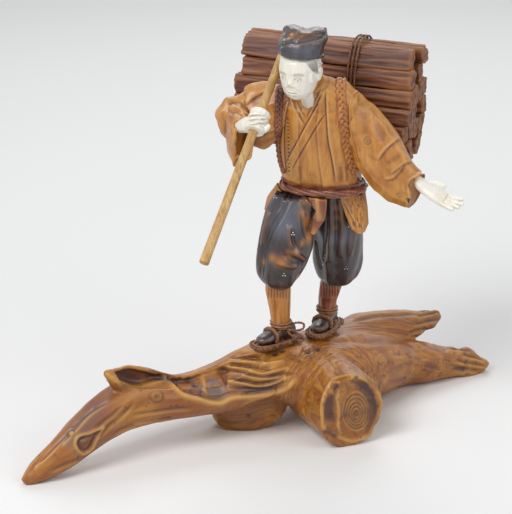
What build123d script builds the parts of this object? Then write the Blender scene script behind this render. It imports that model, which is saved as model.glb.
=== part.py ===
from build123d import *
import math
import os
import random

# Okimono carving: a firewood gatherer with a staff, striding over a natural root.
# Millimetres, +Z up. X runs along the root, the figure faces -Y.
# The pose is laid out in head heights and the root in tenths of its length.

# Driving sizes of the root base
base_length = 300.0
trunk_width = 68.0
trunk_height = 58.0
stub_width = 45.0
stub_height = 51.0
knob_length = 44.0
knob_width = 25.0
rest_cut = 1.5

# Driving sizes of the figure
head_height = 30.0
head_width = 26.0
head_depth = 30.0
chest_width = 50.0
chest_depth = 34.0
waist_trim = 1.6
sash_height = 8.0
knot_width = 8.0
neck_width = 15.0
hat_width = 33.0
hat_height = 19.0
sleeve_width = 26.0
sleeve_height = 40.0
trouser_width = 35.0
trouser_fold_share = 0.045
calf_width = 17.0
foot_length = 31.0
foot_width = 12.0
foot_height = 13.0
sandal_thickness = 2.6
sandal_rim = 1.2
tie_thickness = 1.8
tie_room = 0.1
tie_corners = 12
hand_length = 32.0
palm_width = 12.5
finger_width = 3.2
flap_thickness = 2.6
strap_thickness = 2.2
vest_step = 0.9

# Driving sizes of the staff and its fit in the fist
staff_length = 160.0
staff_diameter = 5.6
staff_foot_diameter = 6.4
staff_reach = 102.0
staff_fit = 0.05
staff_room = 0.4
fist_width = 13.6
fist_height = 15.0

# Driving sizes of the firewood bundle
bundle_length = 122.0
bundle_thickness = 46.0
bundle_height = 72.0
stick_gap = 0.3
stick_stagger = 7.0
cord_diameter = 1.2
cord_pitch = 2.5
cord_turns = 3
cord_room = 0.3

# Hidden dowels and their seats
dowel_diameter = 4.0
foot_dowel_length = 22.0
bundle_dowel_length = 34.0
overrun = 40.0

# Where the figure stands on the root and how it turns, in head heights and degrees
figure_x = 30.0
figure_y = 0.0
hip_turn = 12.0
chest_turn = 26.0
head_turn = 30.0
head_bow = 9.0
hat_bow = -7.0
bundle_turn = 21.0

base_tenth = base_length / 10
up = Vector(0, 0, 1)


def heads(x, y, z):
    # A point of the pose, counted in head heights from the middle of the stance
    return Vector(
        figure_x + x * head_height,
        figure_y + y * head_height,
        trunk_height + z * head_height,
    )


def root_point(x, y, z):
    # A point of the root: plan in tenths of its length, height as a share of the trunk
    return Vector(x * base_tenth, y * base_tenth, z * trunk_height)


def side_of(turn):
    # The wearer's left, for a body turned to its right by this many degrees
    angle = math.radians(turn)
    return Vector(math.cos(angle), -math.sin(angle), 0)


def front_of(turn):
    angle = math.radians(turn)
    return Vector(-math.sin(angle), -math.cos(angle), 0)


def section_plane(centre, along, side):
    # A section square to the run of the form, with its X axis as near to side as it can be
    along = along.normalized()
    across = side - along * side.dot(along)
    return Plane(origin=centre, x_dir=across.normalized(), z_dir=along)


def oval(plane, half_width, half_height, square=2.2, folds=0, depth_share=0.0, count=12):
    # The corners of a closed outline: a superellipse, with soft folds where the cloth has them
    points = []
    for index in range(count):
        angle = 2 * math.pi * index / count
        c = math.cos(angle)
        s = math.sin(angle)
        reach = 1 / (abs(c) ** square + abs(s) ** square) ** (1 / square)
        reach *= 1 + depth_share * math.cos(folds * angle)
        points.append(plane.from_local_coords((half_width * reach * c, half_height * reach * s, 0)))
    return points


def facet(*corners):
    return Face(Wire.make_polygon(corners, close=True))


def between(first, second):
    # The carver's flat cuts between two outlines, each four-sided gap split along its shorter diagonal
    cuts = []
    count = len(first)
    for index in range(count):
        after = (index + 1) % count
        a, b, c, d = first[index], first[after], second[after], second[index]
        if (a - c).length <= (b - d).length:
            cuts += [facet(a, b, c), facet(a, c, d)]
        else:
            cuts += [facet(a, b, d), facet(b, c, d)]
    return cuts


def carve(outlines):
    # A closed form cut in flat facets from one outline to the next
    cuts = [facet(*outlines[0]), facet(*outlines[-1])]
    for first, second in zip(outlines, outlines[1:]):
        cuts += between(first, second)
    return Solid(Shell(cuts))


def carve_ring(outlines):
    # A ring: the last outline runs on into the first
    cuts = []
    for first, second in zip(outlines, outlines[1:] + outlines[:1]):
        cuts += between(first, second)
    return Solid(Shell(cuts))


def eased(rows, steps):
    # Rows of numbers with smooth in-between rows, so a path bends instead of breaking
    if steps < 2:
        return rows
    smooth = []
    last = len(rows) - 1
    for index in range(last):
        before = rows[max(index - 1, 0)]
        start = rows[index]
        end = rows[index + 1]
        after = rows[min(index + 2, last)]
        for step in range(steps):
            u = step / steps
            row = []
            for p, q, r, s in zip(before, start, end, after):
                row.append(
                    q + 0.5 * u * (r - p + u * (2 * p - 5 * q + 4 * r - s + u * (3 * q - p - 3 * r + s)))
                )
            smooth.append(tuple(row))
    smooth.append(rows[last])
    return smooth


def directions(centres):
    # The run of a form at each of its stations
    last = len(centres) - 1
    runs = []
    for index in range(len(centres)):
        before = centres[max(index - 1, 0)]
        after = centres[min(index + 1, last)]
        runs.append((after - before).normalized())
    return runs


def limb(centres, half_widths, half_heights, side=None, rolls=None, **outline_options):
    # A form carved through ovals along a path
    outlines = []
    for index, (centre, run) in enumerate(zip(centres, directions(centres))):
        across = side if side is not None else up.cross(run)
        plane = section_plane(centre, run, across)
        if rolls:
            plane = plane.rotated((0, 0, rolls[index]))
        outlines.append(oval(plane, half_widths[index], half_heights[index], **outline_options))
    return carve(outlines)


def form(shares, place, width, height, steps=1, **options):
    # A limb whose stations are shares: a place, then half width and half height
    shares = eased(shares, steps)
    centres = [place(*row[:3]) for row in shares]
    half_widths = [row[3] * width for row in shares]
    half_heights = [row[4] * height for row in shares]
    if len(shares[0]) > 5:
        options["rolls"] = [row[5] for row in shares]
    return limb(centres, half_widths, half_heights, **options)


knot_shares = [(-0.95, 0.35), (-0.6, 0.8), (0, 1), (0.6, 0.8), (0.95, 0.35)]


def round_knot(centre, half_width, half_depth, half_height):
    outlines = []
    for rise_share, reach_share in knot_shares:
        plane = Plane(origin=centre + up * (rise_share * half_height), x_dir=side_of(hip_turn), z_dir=up)
        outlines.append(oval(plane, half_width * reach_share, half_depth * reach_share, count=8))
    return carve(outlines)


def rod(start, along, length, radius):
    # A round rod from a point along a direction
    plane = Plane(origin=start, z_dir=along)
    return plane * Cylinder(radius, length, align=(Align.CENTER, Align.CENTER, Align.MIN))


def whole(shape):
    # The largest solid, where a cut leaves crumbs
    solids = sorted(shape.solids(), key=lambda solid: solid.volume)
    return solids[-1]


# The root: stations along it, plan in tenths of its length and height in trunk heights
trunk_shares = [
    (-4.87, -3.10, 0.05, 0.04, 0.04),
    (-4.60, -2.93, 0.14, 0.10, 0.12),
    (-4.13, -2.60, 0.26, 0.14, 0.18),
    (-3.60, -2.20, 0.44, 0.17, 0.23),
    (-3.10, -1.83, 0.58, 0.19, 0.27),
    (-2.60, -1.47, 0.64, 0.21, 0.29),
    (-2.07, -1.13, 0.60, 0.25, 0.24),
    (-1.40, -0.80, 0.57, 0.29, 0.215),
    (-0.67, -0.40, 0.59, 0.35, 0.24),
    (0.13, -0.03, 0.70, 0.40, 0.28),
    (0.93, 0.33, 0.61, 0.49, 0.39),
    (1.67, 0.87, 0.52, 0.49, 0.46),
    (2.50, 1.67, 0.42, 0.42, 0.38),
    (3.20, 2.33, 0.33, 0.33, 0.26),
    (3.67, 2.80, 0.28, 0.24, 0.17),
]
near_lobe_shares = [
    (1.93, 0.93, 0.45, 0.38, 0.40),
    (2.73, 2.07, 0.34, 0.32, 0.34),
    (3.83, 2.55, 0.25, 0.28, 0.24),
    (4.57, 2.87, 0.17, 0.21, 0.16),
    (5.13, 2.97, 0.12, 0.12, 0.11),
    (5.42, 2.90, 0.11, 0.06, 0.07),
]
far_wing_shares = [
    (1.60, 1.27, 0.62, 0.34, 0.34, 10),
    (2.50, 2.40, 0.64, 0.27, 0.20, 18),
    (3.43, 3.10, 0.58, 0.22, 0.14, 22),
    (3.97, 3.43, 0.57, 0.15, 0.09, 22),
    (4.23, 3.67, 0.60, 0.07, 0.05, 22),
]
stub_shares = [
    (1.33, 0.27, 0.51, 0.54, 0.50),
    (1.73, -0.50, 0.475, 0.51, 0.50),
    (2.08, -1.23, 0.452, 0.50, 0.50),
]
knob_shares = [
    (-0.60, -0.08, 0.0, 0.27, 0.34),
    (-0.47, -0.08, 0.11, 0.47, 0.47),
    (-0.33, -0.08, 0.26, 0.58, 0.50),
    (-0.19, -0.08, 0.40, 0.64, 0.46),
    (-0.12, -0.08, 0.54, 0.56, 0.40),
]
spur_shares = [
    (-2.60, -1.53, 0.80, 0.13, 0.14),
    (-2.93, -1.87, 0.98, 0.08, 0.10),
    (-3.17, -2.17, 1.14, 0.035, 0.04),
]
bank_shares = [
    (-3.08, -2.03, 1.05, 0.04, 0.06),
    (-2.90, -1.72, 0.96, 0.07, 0.15),
    (-2.62, -1.37, 0.84, 0.09, 0.20),
    (-2.28, -1.10, 0.74, 0.10, 0.20),
    (-1.92, -0.86, 0.67, 0.10, 0.16),
    (-1.52, -0.64, 0.62, 0.09, 0.13),
]
trough_shares = [
    (-2.95, -2.02, 1.06, 0.03, 0.04),
    (-2.74, -1.76, 0.98, 0.09, 0.10),
    (-2.20, -1.36, 0.86, 0.12, 0.12),
    (-1.47, -0.93, 0.79, 0.14, 0.14),
    (-0.73, -0.63, 0.83, 0.16, 0.14),
    (-0.07, -0.47, 0.94, 0.12, 0.10),
    (0.47, -0.40, 1.04, 0.05, 0.05),
]


def root_body():
    root = form(trunk_shares, root_point, trunk_width, trunk_height, square=2.4, steps=2, count=14)
    branches = [
        form(near_lobe_shares, root_point, trunk_width, trunk_height, steps=2, count=14),
        form(far_wing_shares, root_point, trunk_width, trunk_height, count=14),
        form(stub_shares, root_point, stub_width, stub_height, count=18),
        form(knob_shares, root_point, knob_length, knob_width, side=Vector(1, 0, 0), steps=2, count=14),
        form(spur_shares, root_point, trunk_width, trunk_height, count=8),
        form(bank_shares, root_point, trunk_width, trunk_height, steps=2, count=10),
    ]
    for branch in branches:
        root += branch
    root -= form(trough_shares, root_point, trunk_width, trunk_height, steps=2, count=10)
    below = Pos(0, 0, rest_cut) * Box(
        base_length * 2,
        base_length * 2,
        overrun,
        align=(Align.CENTER, Align.CENTER, Align.MAX),
    )
    return whole(root - below)


# The robe: stations up the body, in head heights, with how far each has turned to the chest
robe_shares = [
    (0.457, 0.233, 3.43, 0.49, 0.50),
    (0.457, 0.233, 3.77, 0.485, 0.50),
    (0.34, 0.17, 4.27, 0.52, 0.51),
    (0.33, 0.07, 4.90, 0.50, 0.50),
    (0.33, -0.03, 5.37, 0.54, 0.46),
    (0.32, -0.12, 5.70, 0.51, 0.37),
    (0.22, -0.27, 5.94, 0.31, 0.28),
    (0.13, -0.37, 6.08, 0.19, 0.22),
]
turn_shares = [0, 0.1, 0.4, 0.8, 1, 1, 1, 1]
belt_share = 3.52
chest_middle_share = 0.36
vest_opening_shares = [
    (-0.30, 3.2),
    (-0.26, 5.3),
    (-0.16, 6.3),
    (0.30, 6.3),
    (0.16, 5.2),
    (0.24, 3.2),
]


def belt_line():
    return Plane(origin=heads(0, 0, belt_share), z_dir=up)


def robe_layer(outset, first=0, last=None):
    # The body's form, grown by a layer of cloth, from one of its stations to another
    rows = [row + (turn,) for row, turn in zip(robe_shares, turn_shares)]
    rows = eased(rows, 2)[2 * first:last]
    centres = [heads(*row[:3]) for row in rows]
    outlines = []
    for centre, run, row in zip(centres, directions(centres), rows):
        turn = hip_turn + row[5] * (chest_turn - hip_turn)
        plane = section_plane(centre, run, side_of(turn))
        outlines.append(
            oval(plane, row[3] * chest_width + outset, row[4] * chest_depth + outset, 2.3, count=16)
        )
    return carve(outlines)


def front_prism(points_shares, turn, reach):
    # A prism through the front of the body, drawn in head heights across and up
    middle = heads(chest_middle_share, 0, 0)
    plane = Plane(origin=Vector(middle.X, middle.Y, trunk_height), x_dir=side_of(turn), z_dir=front_of(turn))
    points = [(across * head_height, rise * head_height) for across, rise in points_shares]
    return extrude(plane * make_face(Polyline(*points, close=True)), amount=reach)


def vest_form():
    return robe_layer(vest_step, last=-1)


def robe():
    return robe_layer(0) + (vest_form() - front_prism(vest_opening_shares, chest_turn, overrun))


neck_shares = [
    (0.20, -0.20, 5.60, 0.50, 0.50),
    (0.12, -0.33, 5.87, 0.50, 0.48),
    (0.00, -0.45, 6.20, 0.46, 0.46),
]

# The head, its own frame turned and bowed: rise and lead of each station in head heights
skull_shares = [
    (-0.50, 0.22, 0.14, 0.10),
    (-0.45, 0.18, 0.27, 0.20),
    (-0.34, 0.12, 0.38, 0.32),
    (-0.20, 0.07, 0.43, 0.40),
    (-0.03, 0.03, 0.48, 0.45),
    (0.18, 0.0, 0.50, 0.49),
    (0.36, -0.01, 0.45, 0.46),
    (0.47, -0.01, 0.30, 0.32),
]
nose_shares = [(0.08, 0.44, 0.05, 0.03), (-0.06, 0.47, 0.07, 0.07), (-0.13, 0.45, 0.09, 0.06)]
ear_shares = [(-0.15, 0.4), (-0.09, 0.9), (0.0, 1.0), (0.09, 0.9), (0.13, 0.5)]
ear_lead_share = -0.03
ear_reach_share = 0.49
ear_depth = 5.5
ear_width = 2.6
hat_shares = [
    (0.00, 0.0, 0.45, 0.48),
    (0.06, 0.0, 0.47, 0.50),
    (0.30, -0.01, 0.47, 0.50),
    (0.60, -0.04, 0.45, 0.44),
    (0.88, -0.10, 0.43, 0.28),
    (1.00, -0.14, 0.39, 0.14),
]
head_seat_shares = (-0.07, -0.57, 6.36)
hat_seat_shares = (-0.04, -0.52, 6.72)


def bowed_plane(seat, bow_degrees, rise, lead):
    # A level cut of the head or hat, turned with the face and bowed forwards
    bow = math.radians(bow_degrees)
    front = front_of(head_turn) * math.cos(bow) - up * math.sin(bow)
    axis = up * math.cos(bow) + front_of(head_turn) * math.sin(bow)
    return Plane(origin=heads(*seat) + axis * rise + front * lead, x_dir=side_of(head_turn), z_dir=axis)


def head_plane(rise_share, lead_share):
    return bowed_plane(head_seat_shares, head_bow, rise_share * head_height, lead_share * head_height)


def head():
    shape = carve([
        oval(head_plane(row[0], row[1]), row[2] * head_width, row[3] * head_depth, 2.1, count=16)
        for row in skull_shares
    ])
    shape += form(neck_shares, heads, neck_width, neck_width, side=side_of(head_turn))
    shape += carve([
        oval(head_plane(row[0], row[1]), row[2] * head_width, row[3] * head_depth, count=8)
        for row in nose_shares
    ])
    for way in (-1, 1):
        outlines = []
        for rise_share, reach in ear_shares:
            plane = head_plane(rise_share, ear_lead_share)
            plane = plane.move(Location(plane.x_dir * (way * head_width * ear_reach_share)))
            outlines.append(oval(plane, ear_width / 2 * reach, ear_depth / 2 * reach, count=8))
        shape += carve(outlines)
    return whole(shape)


def hat():
    outlines = []
    for rise_share, lead_share, wide_share, deep_share in eased(hat_shares, 2):
        plane = bowed_plane(hat_seat_shares, hat_bow, rise_share * hat_height, lead_share * hat_width)
        outlines.append(oval(plane, wide_share * hat_width, deep_share * hat_width, 2.2, count=16))
    return carve(outlines)


# Trousers, shins and feet, in head heights
right_leg_shares = [
    (0.13, 0.23, 3.57, 0.42, 0.47),
    (0.00, 0.13, 3.33, 0.49, 0.51),
    (-0.27, 0.00, 2.97, 0.47, 0.50),
    (-0.37, -0.13, 2.47, 0.50, 0.49),
    (-0.49, -0.12, 1.97, 0.45, 0.46),
    (-0.50, -0.02, 1.72, 0.40, 0.40),
    (-0.52, 0.04, 1.64, 0.31, 0.33),
]
left_leg_shares = [
    (0.80, 0.27, 3.57, 0.40, 0.47),
    (0.80, 0.30, 3.33, 0.46, 0.51),
    (0.78, 0.40, 2.90, 0.46, 0.50),
    (0.80, 0.60, 2.33, 0.47, 0.49),
    (0.80, 0.77, 1.80, 0.48, 0.47),
    (0.78, 0.85, 1.40, 0.40, 0.40),
    (0.77, 0.88, 1.28, 0.31, 0.33),
]
right_shin_shares = [
    (-0.53, 0.10, 1.70, 0.46, 0.46),
    (-0.52, 0.13, 1.30, 0.50, 0.50),
    (-0.48, 0.15, 0.87, 0.42, 0.42),
    (-0.45, 0.17, 0.36, 0.34, 0.34),
]
left_shin_shares = [
    (0.74, 0.90, 1.45, 0.42, 0.42),
    (0.66, 0.93, 1.07, 0.43, 0.43),
    (0.60, 1.00, 0.73, 0.37, 0.37),
    (0.59, 1.03, 0.36, 0.34, 0.34),
]
foot_shares = [
    (-0.36, 0.36, 0.20, 0.24),
    (-0.30, 0.42, 0.38, 0.38),
    (-0.12, 0.47, 0.44, 0.46),
    (0.08, 0.43, 0.44, 0.42),
    (0.28, 0.34, 0.48, 0.33),
    (0.45, 0.27, 0.48, 0.26),
    (0.58, 0.24, 0.38, 0.21),
    (0.64, 0.22, 0.18, 0.12),
]
ankle_rise_shares = (0.44, 0.51)
foot_stand_shares = {"right": (-0.45, 0.17), "left": (0.59, 1.03)}
foot_turns = {"right": 50.0, "left": 22.0}
sole_lead_share = 0.14
sole_width_share = 1.12
sole_length_share = 1.10


def leg(shares):
    return form(
        shares,
        heads,
        trouser_width,
        trouser_width,
        steps=2,
        side=side_of(hip_turn),
        folds=7,
        depth_share=trouser_fold_share,
        count=14,
    )


def foot_spot(which):
    # Where the ankle stands, level with the foot of the sole
    x_share, y_share = foot_stand_shares[which]
    return heads(x_share, y_share, 0)


def foot_plane(which, along_share, rise):
    # A plane across the foot, its Z towards the toes
    turn = foot_turns[which]
    centre = foot_spot(which) + front_of(turn) * (along_share * foot_length) + up * rise
    return Plane(origin=centre, x_dir=side_of(turn), z_dir=front_of(turn))


def foot(which):
    sections = []
    for along_share, rise_share, wide_share, tall_share in foot_shares:
        plane = foot_plane(which, along_share, sandal_thickness + rise_share * foot_height)
        sections.append(oval(plane, wide_share * foot_width, tall_share * foot_height, count=10))
    return carve(sections)


def sole_outline(which, outset):
    turn = foot_turns[which]
    centre = foot_spot(which) + front_of(turn) * (sole_lead_share * foot_length)
    plane = Plane(origin=centre, x_dir=side_of(turn), z_dir=up)
    half_width = sole_width_share * foot_width / 2 + outset
    half_length = sole_length_share * foot_length / 2 + outset
    return facet(*oval(plane, half_width, half_length, 2.6, count=18))


def sandal(which):
    sole = extrude(sole_outline(which, 0), amount=sandal_thickness)
    rim = extrude(sole_outline(which, sandal_rim), amount=sandal_thickness + sandal_rim)
    rim -= extrude(sole_outline(which, 0), amount=overrun)
    return sole + rim


def ankle_ring(low, rise_share):
    # One turn of cord, laid close about the ankle
    centre = heads(low[0], low[1], rise_share)
    radius = low[3] * calf_width + tie_thickness / 2 + tie_room
    outlines = []
    for index in range(tie_corners):
        angle = 2 * math.pi * index / tie_corners
        away = Vector(math.cos(angle), math.sin(angle), 0)
        plane = Plane(origin=centre + away * radius, x_dir=away, z_dir=up.cross(away))
        outlines.append(oval(plane, tie_thickness / 2, tie_thickness / 2, 2, count=5))
    return carve_ring(outlines)


def ties(which, shin_shares, tabi, shin):
    # Two turns of cord about the ankle and one over the instep
    rings = [ankle_ring(shin_shares[-1], rise_share) for rise_share in ankle_rise_shares]
    shape = [whole(ring - tabi - shin) for ring in rings]
    along_share, rise_share, wide_share, tall_share = foot_shares[4]
    sections = []
    for step in (-0.5, 0.5):
        plane = foot_plane(which, along_share, sandal_thickness + rise_share * foot_height)
        plane = plane.offset(step * tie_thickness)
        half_width = wide_share * foot_width + tie_thickness
        sections.append(oval(plane, half_width, tall_share * foot_height + tie_thickness))
    sole_top = Plane(origin=foot_spot(which) + up * (sandal_thickness + sandal_rim), z_dir=up)
    under = sole_top * Box(overrun, overrun, overrun, align=(Align.CENTER, Align.CENTER, Align.MAX))
    return shape + [whole(carve(sections) - tabi - under)]


# Sash, apron and the two loose flaps of the robe below it
apron_shares = [
    (0.20, -0.42, 3.55, 0.42, 0.5),
    (0.17, -0.44, 3.10, 0.34, 0.5),
    (0.12, -0.42, 2.75, 0.14, 0.4),
]
left_flap_shares = [
    (1.06, -0.12, 3.60, 0.66, 0.5),
    (1.16, -0.16, 3.17, 0.58, 0.5),
    (1.24, -0.15, 2.83, 0.44, 0.5),
    (1.26, -0.15, 2.68, 0.20, 0.4),
]
right_flap_shares = [
    (-0.45, 0.22, 3.55, 0.46, 0.5),
    (-0.66, 0.26, 3.25, 0.40, 0.5),
    (-0.76, 0.26, 3.03, 0.20, 0.4),
]
flap_width = 15.0
left_flap_turn = -28
right_flap_turn = 60


def flap(shares, turn):
    return form(shares, heads, flap_width, flap_thickness * 2, side=side_of(turn))


knot_seat_shares = (1.10, -0.12, 3.80)
knot_depth_share = 0.4
knot_rise_share = 0.75


def sash():
    # A cloth belt that sits on the trousers and hides the seam of the robe, with its knot at the left
    outer = robe_layer(vest_step + waist_trim, last=6)
    inner = robe_layer(vest_step, last=6)
    slab = Box(base_length, base_length, sash_height, align=(Align.CENTER, Align.CENTER, Align.MIN))
    band = (outer & (belt_line() * slab)) - inner
    half_depth = knot_width * knot_depth_share
    half_height = knot_width * knot_rise_share
    knot = round_knot(heads(*knot_seat_shares), knot_width / 2, half_depth, half_height)
    return whole(band + (knot - inner))


# Sleeves, in head heights; widths follow the sleeve's depth and height
right_upper_shares = [
    (-0.07, 0.17, 5.47, 0.46, 0.33),
    (-0.73, 0.27, 5.22, 0.50, 0.43),
    (-1.22, 0.25, 5.06, 0.44, 0.45),
    (-1.52, 0.20, 5.18, 0.31, 0.34),
    (-1.70, 0.15, 5.33, 0.14, 0.16),
]
right_fore_shares = [
    (-1.33, 0.30, 4.95, 0.31, 0.40, 10),
    (-1.36, -0.07, 4.86, 0.34, 0.49, 10),
    (-1.32, -0.40, 4.83, 0.31, 0.48, 6),
    (-1.26, -0.60, 4.80, 0.28, 0.46, 4),
]
right_hollow_shares = [
    (-1.37, -0.10, 4.98, 0.16, 0.16),
    (-1.33, -0.35, 4.90, 0.23, 0.35),
    (-1.25, -0.64, 4.80, 0.21, 0.41),
]
left_arm_shares = [
    (0.70, -0.13, 5.40, 0.46, 0.34),
    (1.10, -0.20, 5.17, 0.50, 0.40),
    (1.55, -0.30, 4.62, 0.48, 0.42),
    (1.90, -0.43, 4.05, 0.43, 0.42),
    (2.27, -0.54, 3.79, 0.38, 0.35),
]
left_hollow_shares = [
    (2.00, -0.46, 3.98, 0.18, 0.18),
    (2.12, -0.50, 3.90, 0.28, 0.28),
    (2.32, -0.56, 3.75, 0.31, 0.31),
]


def right_sleeve():
    arm = form(right_upper_shares, heads, sleeve_width, sleeve_height, steps=2)
    arm += form(right_fore_shares, heads, sleeve_width, sleeve_height, steps=2)
    return arm - form(right_hollow_shares, heads, sleeve_width, sleeve_height)


def left_sleeve():
    arm = form(left_arm_shares, heads, sleeve_width, sleeve_height, steps=2)
    return arm - form(left_hollow_shares, heads, sleeve_width, sleeve_height)


# The staff, its run upwards and the grip point in the fist
staff_rise = 41.8
staff_bearing = 24.9
grip_shares = (-0.98, -1.0, 5.40)
grip_point = heads(*grip_shares)


def staff_run():
    rise = math.radians(staff_rise)
    bearing = math.radians(staff_bearing)
    level = math.cos(rise)
    return Vector(level * math.sin(bearing), level * math.cos(bearing), math.sin(rise))


def staff():
    # A round rod that swells in carved facets below the fist, so it draws out downwards only
    run = staff_run()
    low = grip_point - run * staff_reach
    taper = staff_reach - fist_height
    outlines = []
    for rise, diameter in ((0, staff_foot_diameter), (taper, staff_diameter)):
        plane = Plane(origin=low + run * rise, z_dir=run)
        outlines.append(oval(plane, diameter / 2, diameter / 2, 2, count=16))
    return carve(outlines) + rod(low + run * taper, run, staff_length - taper, staff_diameter / 2)


def staff_way(room):
    # The room that the staff needs along its whole run
    run = staff_run()
    return rod(grip_point - run * staff_reach, run, staff_length + head_height, staff_diameter / 2 + room)


right_wrist_shares = [
    (-1.44, -0.28, 5.10, 0.30, 0.30),
    (-1.30, -0.62, 5.20, 0.34, 0.34),
    (-1.16, -0.88, 5.31, 0.40, 0.42),
    (-1.03, -1.00, 5.38, 0.36, 0.40),
]


finger_count = 4
fist_finger_shares = [(-0.42, 0.90), (-0.15, 1.0), (0.15, 1.0), (0.42, 0.90)]
fist_lead_share = 0.08
right_thumb_shares = [
    (-0.84, -1.20, 5.26, 0.5, 0.5),
    (-0.78, -1.16, 5.32, 0.6, 0.6),
    (-0.72, -1.12, 5.38, 0.4, 0.4),
]


def right_hand():
    run = staff_run()
    shape = form(right_wrist_shares, heads, palm_width, palm_width)
    pitch = fist_height / finger_count
    front = Vector(0, -1, 0)
    lead = front - run * front.dot(run)
    outlines = []
    for index in range(finger_count):
        for step_share, reach_share in fist_finger_shares:
            rise = (index - (finger_count - 1) / 2 + step_share) * pitch
            middle = grip_point + run * rise + lead * (fist_width * fist_lead_share)
            plane = Plane(origin=middle, z_dir=run)
            radius = fist_width / 2 * reach_share
            outlines.append(oval(plane, radius, radius, 2, count=12))
    shape += carve(outlines)
    shape += form(right_thumb_shares, heads, finger_width, finger_width, count=8)
    shape -= staff_way(staff_fit)
    return whole(shape)


left_palm_shares = [
    (2.17, -0.50, 4.23, 0.27, 0.29),
    (2.37, -0.60, 4.02, 0.32, 0.29),
    (2.57, -0.70, 3.87, 0.38, 0.27),
    (2.78, -0.80, 3.77, 0.48, 0.24),
    (2.97, -0.88, 3.68, 0.49, 0.20),
]
left_hand_run = Vector(0.82, -0.38, -0.43)
left_hand_side = Vector(0.55, 0.72, 0.41)
knuckle_shares = (2.93, -0.86, 3.70)
finger_length_shares = (0.33, 0.40, 0.42, 0.36)
finger_pitch_share = 0.245
# Along the finger, its curl, its spread and its thickness
finger_shares = [(0, 0, 0, 0.52), (0.55, 0.06, 0, 0.50), (1, 0.22, 0.05, 0.34)]
left_thumb_seat_shares = (2.55, -0.66, 3.88)
# Along the thumb, across the palm, its curl and its thickness
left_thumb_shares = [(0, 0.25, 0, 0.60), (0.18, 0.48, 0.5, 0.60), (0.36, 0.55, 1, 0.35)]


def left_hand():
    run = left_hand_run
    across = left_hand_side
    normal = run.cross(across).normalized()
    shape = form(left_palm_shares, heads, palm_width, palm_width, side=across)
    knuckle = heads(*knuckle_shares)
    for index, length_share in enumerate(finger_length_shares):
        place = index - (finger_count - 1) / 2
        start = knuckle + across * (place * palm_width * finger_pitch_share)
        length = hand_length * length_share
        centres = []
        for along, curl, spread, _ in finger_shares:
            bend = normal * (curl * length) + across * (place * spread * length)
            centres.append(start + run * (along * length) + bend)
        radii = [row[3] * finger_width for row in finger_shares]
        shape += limb(centres, radii, radii, side=across, count=8)
    centres = []
    for along, spread, curl, _ in left_thumb_shares:
        bend = across * (spread * palm_width) + normal * (curl * finger_width)
        centres.append(heads(*left_thumb_seat_shares) + run * (along * hand_length) + bend)
    radii = [row[3] * finger_width for row in left_thumb_shares]
    shape += limb(centres, radii, radii, side=across, count=8)
    return whole(shape)


# Straps of the load: bands on the vest, from shoulder to waist
right_strap_shares = [
    (-0.66, 6.1),
    (-0.46, 6.1),
    (-0.40, 5.2),
    (-0.46, 3.75),
    (-0.70, 3.75),
    (-0.64, 5.2),
]
left_strap_shares = [
    (0.36, 6.3),
    (0.58, 6.3),
    (0.56, 5.2),
    (0.80, 4.0),
    (0.58, 3.9),
    (0.32, 5.2),
]


def strap(shares):
    layer = robe_layer(vest_step + strap_thickness, first=1, last=-1)
    return layer & front_prism(shares, chest_turn, overrun)


# The firewood: split sticks share the lines of one jittered grid, so none overlaps its neighbour
bundle_seat_shares = (0.66, 1.50, 5.33)
bundle_centre = heads(*bundle_seat_shares)
stick_columns = 4
stick_rows = 6
hull_power = 2.5
hull_crown_share = 0.93
jitter_share = 0.16
corner_break_shares = (0.16, 0.84)
stick_pull_share = 0.75
bundle_cord_share = 0.125


def hull_width(rise):
    return (1 - abs(rise) ** hull_power) ** (1 / hull_power)


def grid_corner(column, row, dice):
    rise = (2 * row / stick_rows - 1) * hull_crown_share
    across = (2 * column / stick_columns - 1)
    inside = 0 < column < stick_columns and 0 < row < stick_rows
    if inside:
        across += dice.uniform(-1, 1) * jitter_share * 2 / stick_columns
        rise += dice.uniform(-1, 1) * jitter_share * 2 / stick_rows
    return across * hull_width(rise), rise


def stick_outline(corners, pull):
    # A split stick: its cell with the corners broken, drawn in from the neighbours
    half_height = bundle_height / 2 / hull_crown_share
    points = []
    for index, corner in enumerate(corners):
        after = corners[(index + 1) % len(corners)]
        for share in corner_break_shares:
            across = corner[0] + (after[0] - corner[0]) * share
            rise = corner[1] + (after[1] - corner[1]) * share
            points.append((across * bundle_thickness / 2, rise * half_height))
    middle_across = sum(point[0] for point in points) / len(points)
    middle_rise = sum(point[1] for point in points) / len(points)
    drawn = []
    for across, rise in points:
        away = math.hypot(across - middle_across, rise - middle_rise)
        keep = 1 - pull / away
        drawn_across = middle_across + (across - middle_across) * keep
        drawn_rise = middle_rise + (rise - middle_rise) * keep
        drawn.append((drawn_across, drawn_rise))
    return drawn


def stick_end(along, outline):
    run = side_of(bundle_turn)
    back = front_of(bundle_turn) * -1
    plane = Plane(origin=bundle_centre + run * along, x_dir=back, z_dir=run)
    # With the run as Z and the back as X, the plane's Y points up or down
    sign = 1 if plane.y_dir.Z > 0 else -1
    return [plane.from_local_coords((across, sign * rise, 0)) for across, rise in outline]


def sticks():
    dice = random.Random(11)
    grids = []
    for end in range(2):
        grid = {}
        for column in range(stick_columns + 1):
            for row in range(stick_rows + 1):
                grid[column, row] = grid_corner(column, row, dice)
        grids.append(grid)
    found = []
    for column in range(stick_columns):
        for row in range(stick_rows):
            ends = []
            for way, grid in zip((-1, 1), grids):
                keys = [(column, row), (column + 1, row), (column + 1, row + 1), (column, row + 1)]
                outline = stick_outline([grid[key] for key in keys], stick_gap * stick_pull_share)
                along = way * (bundle_length / 2 - dice.random() * stick_stagger)
                ends.append(stick_end(along, outline))
            found.append(carve(ends))
    return found


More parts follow.
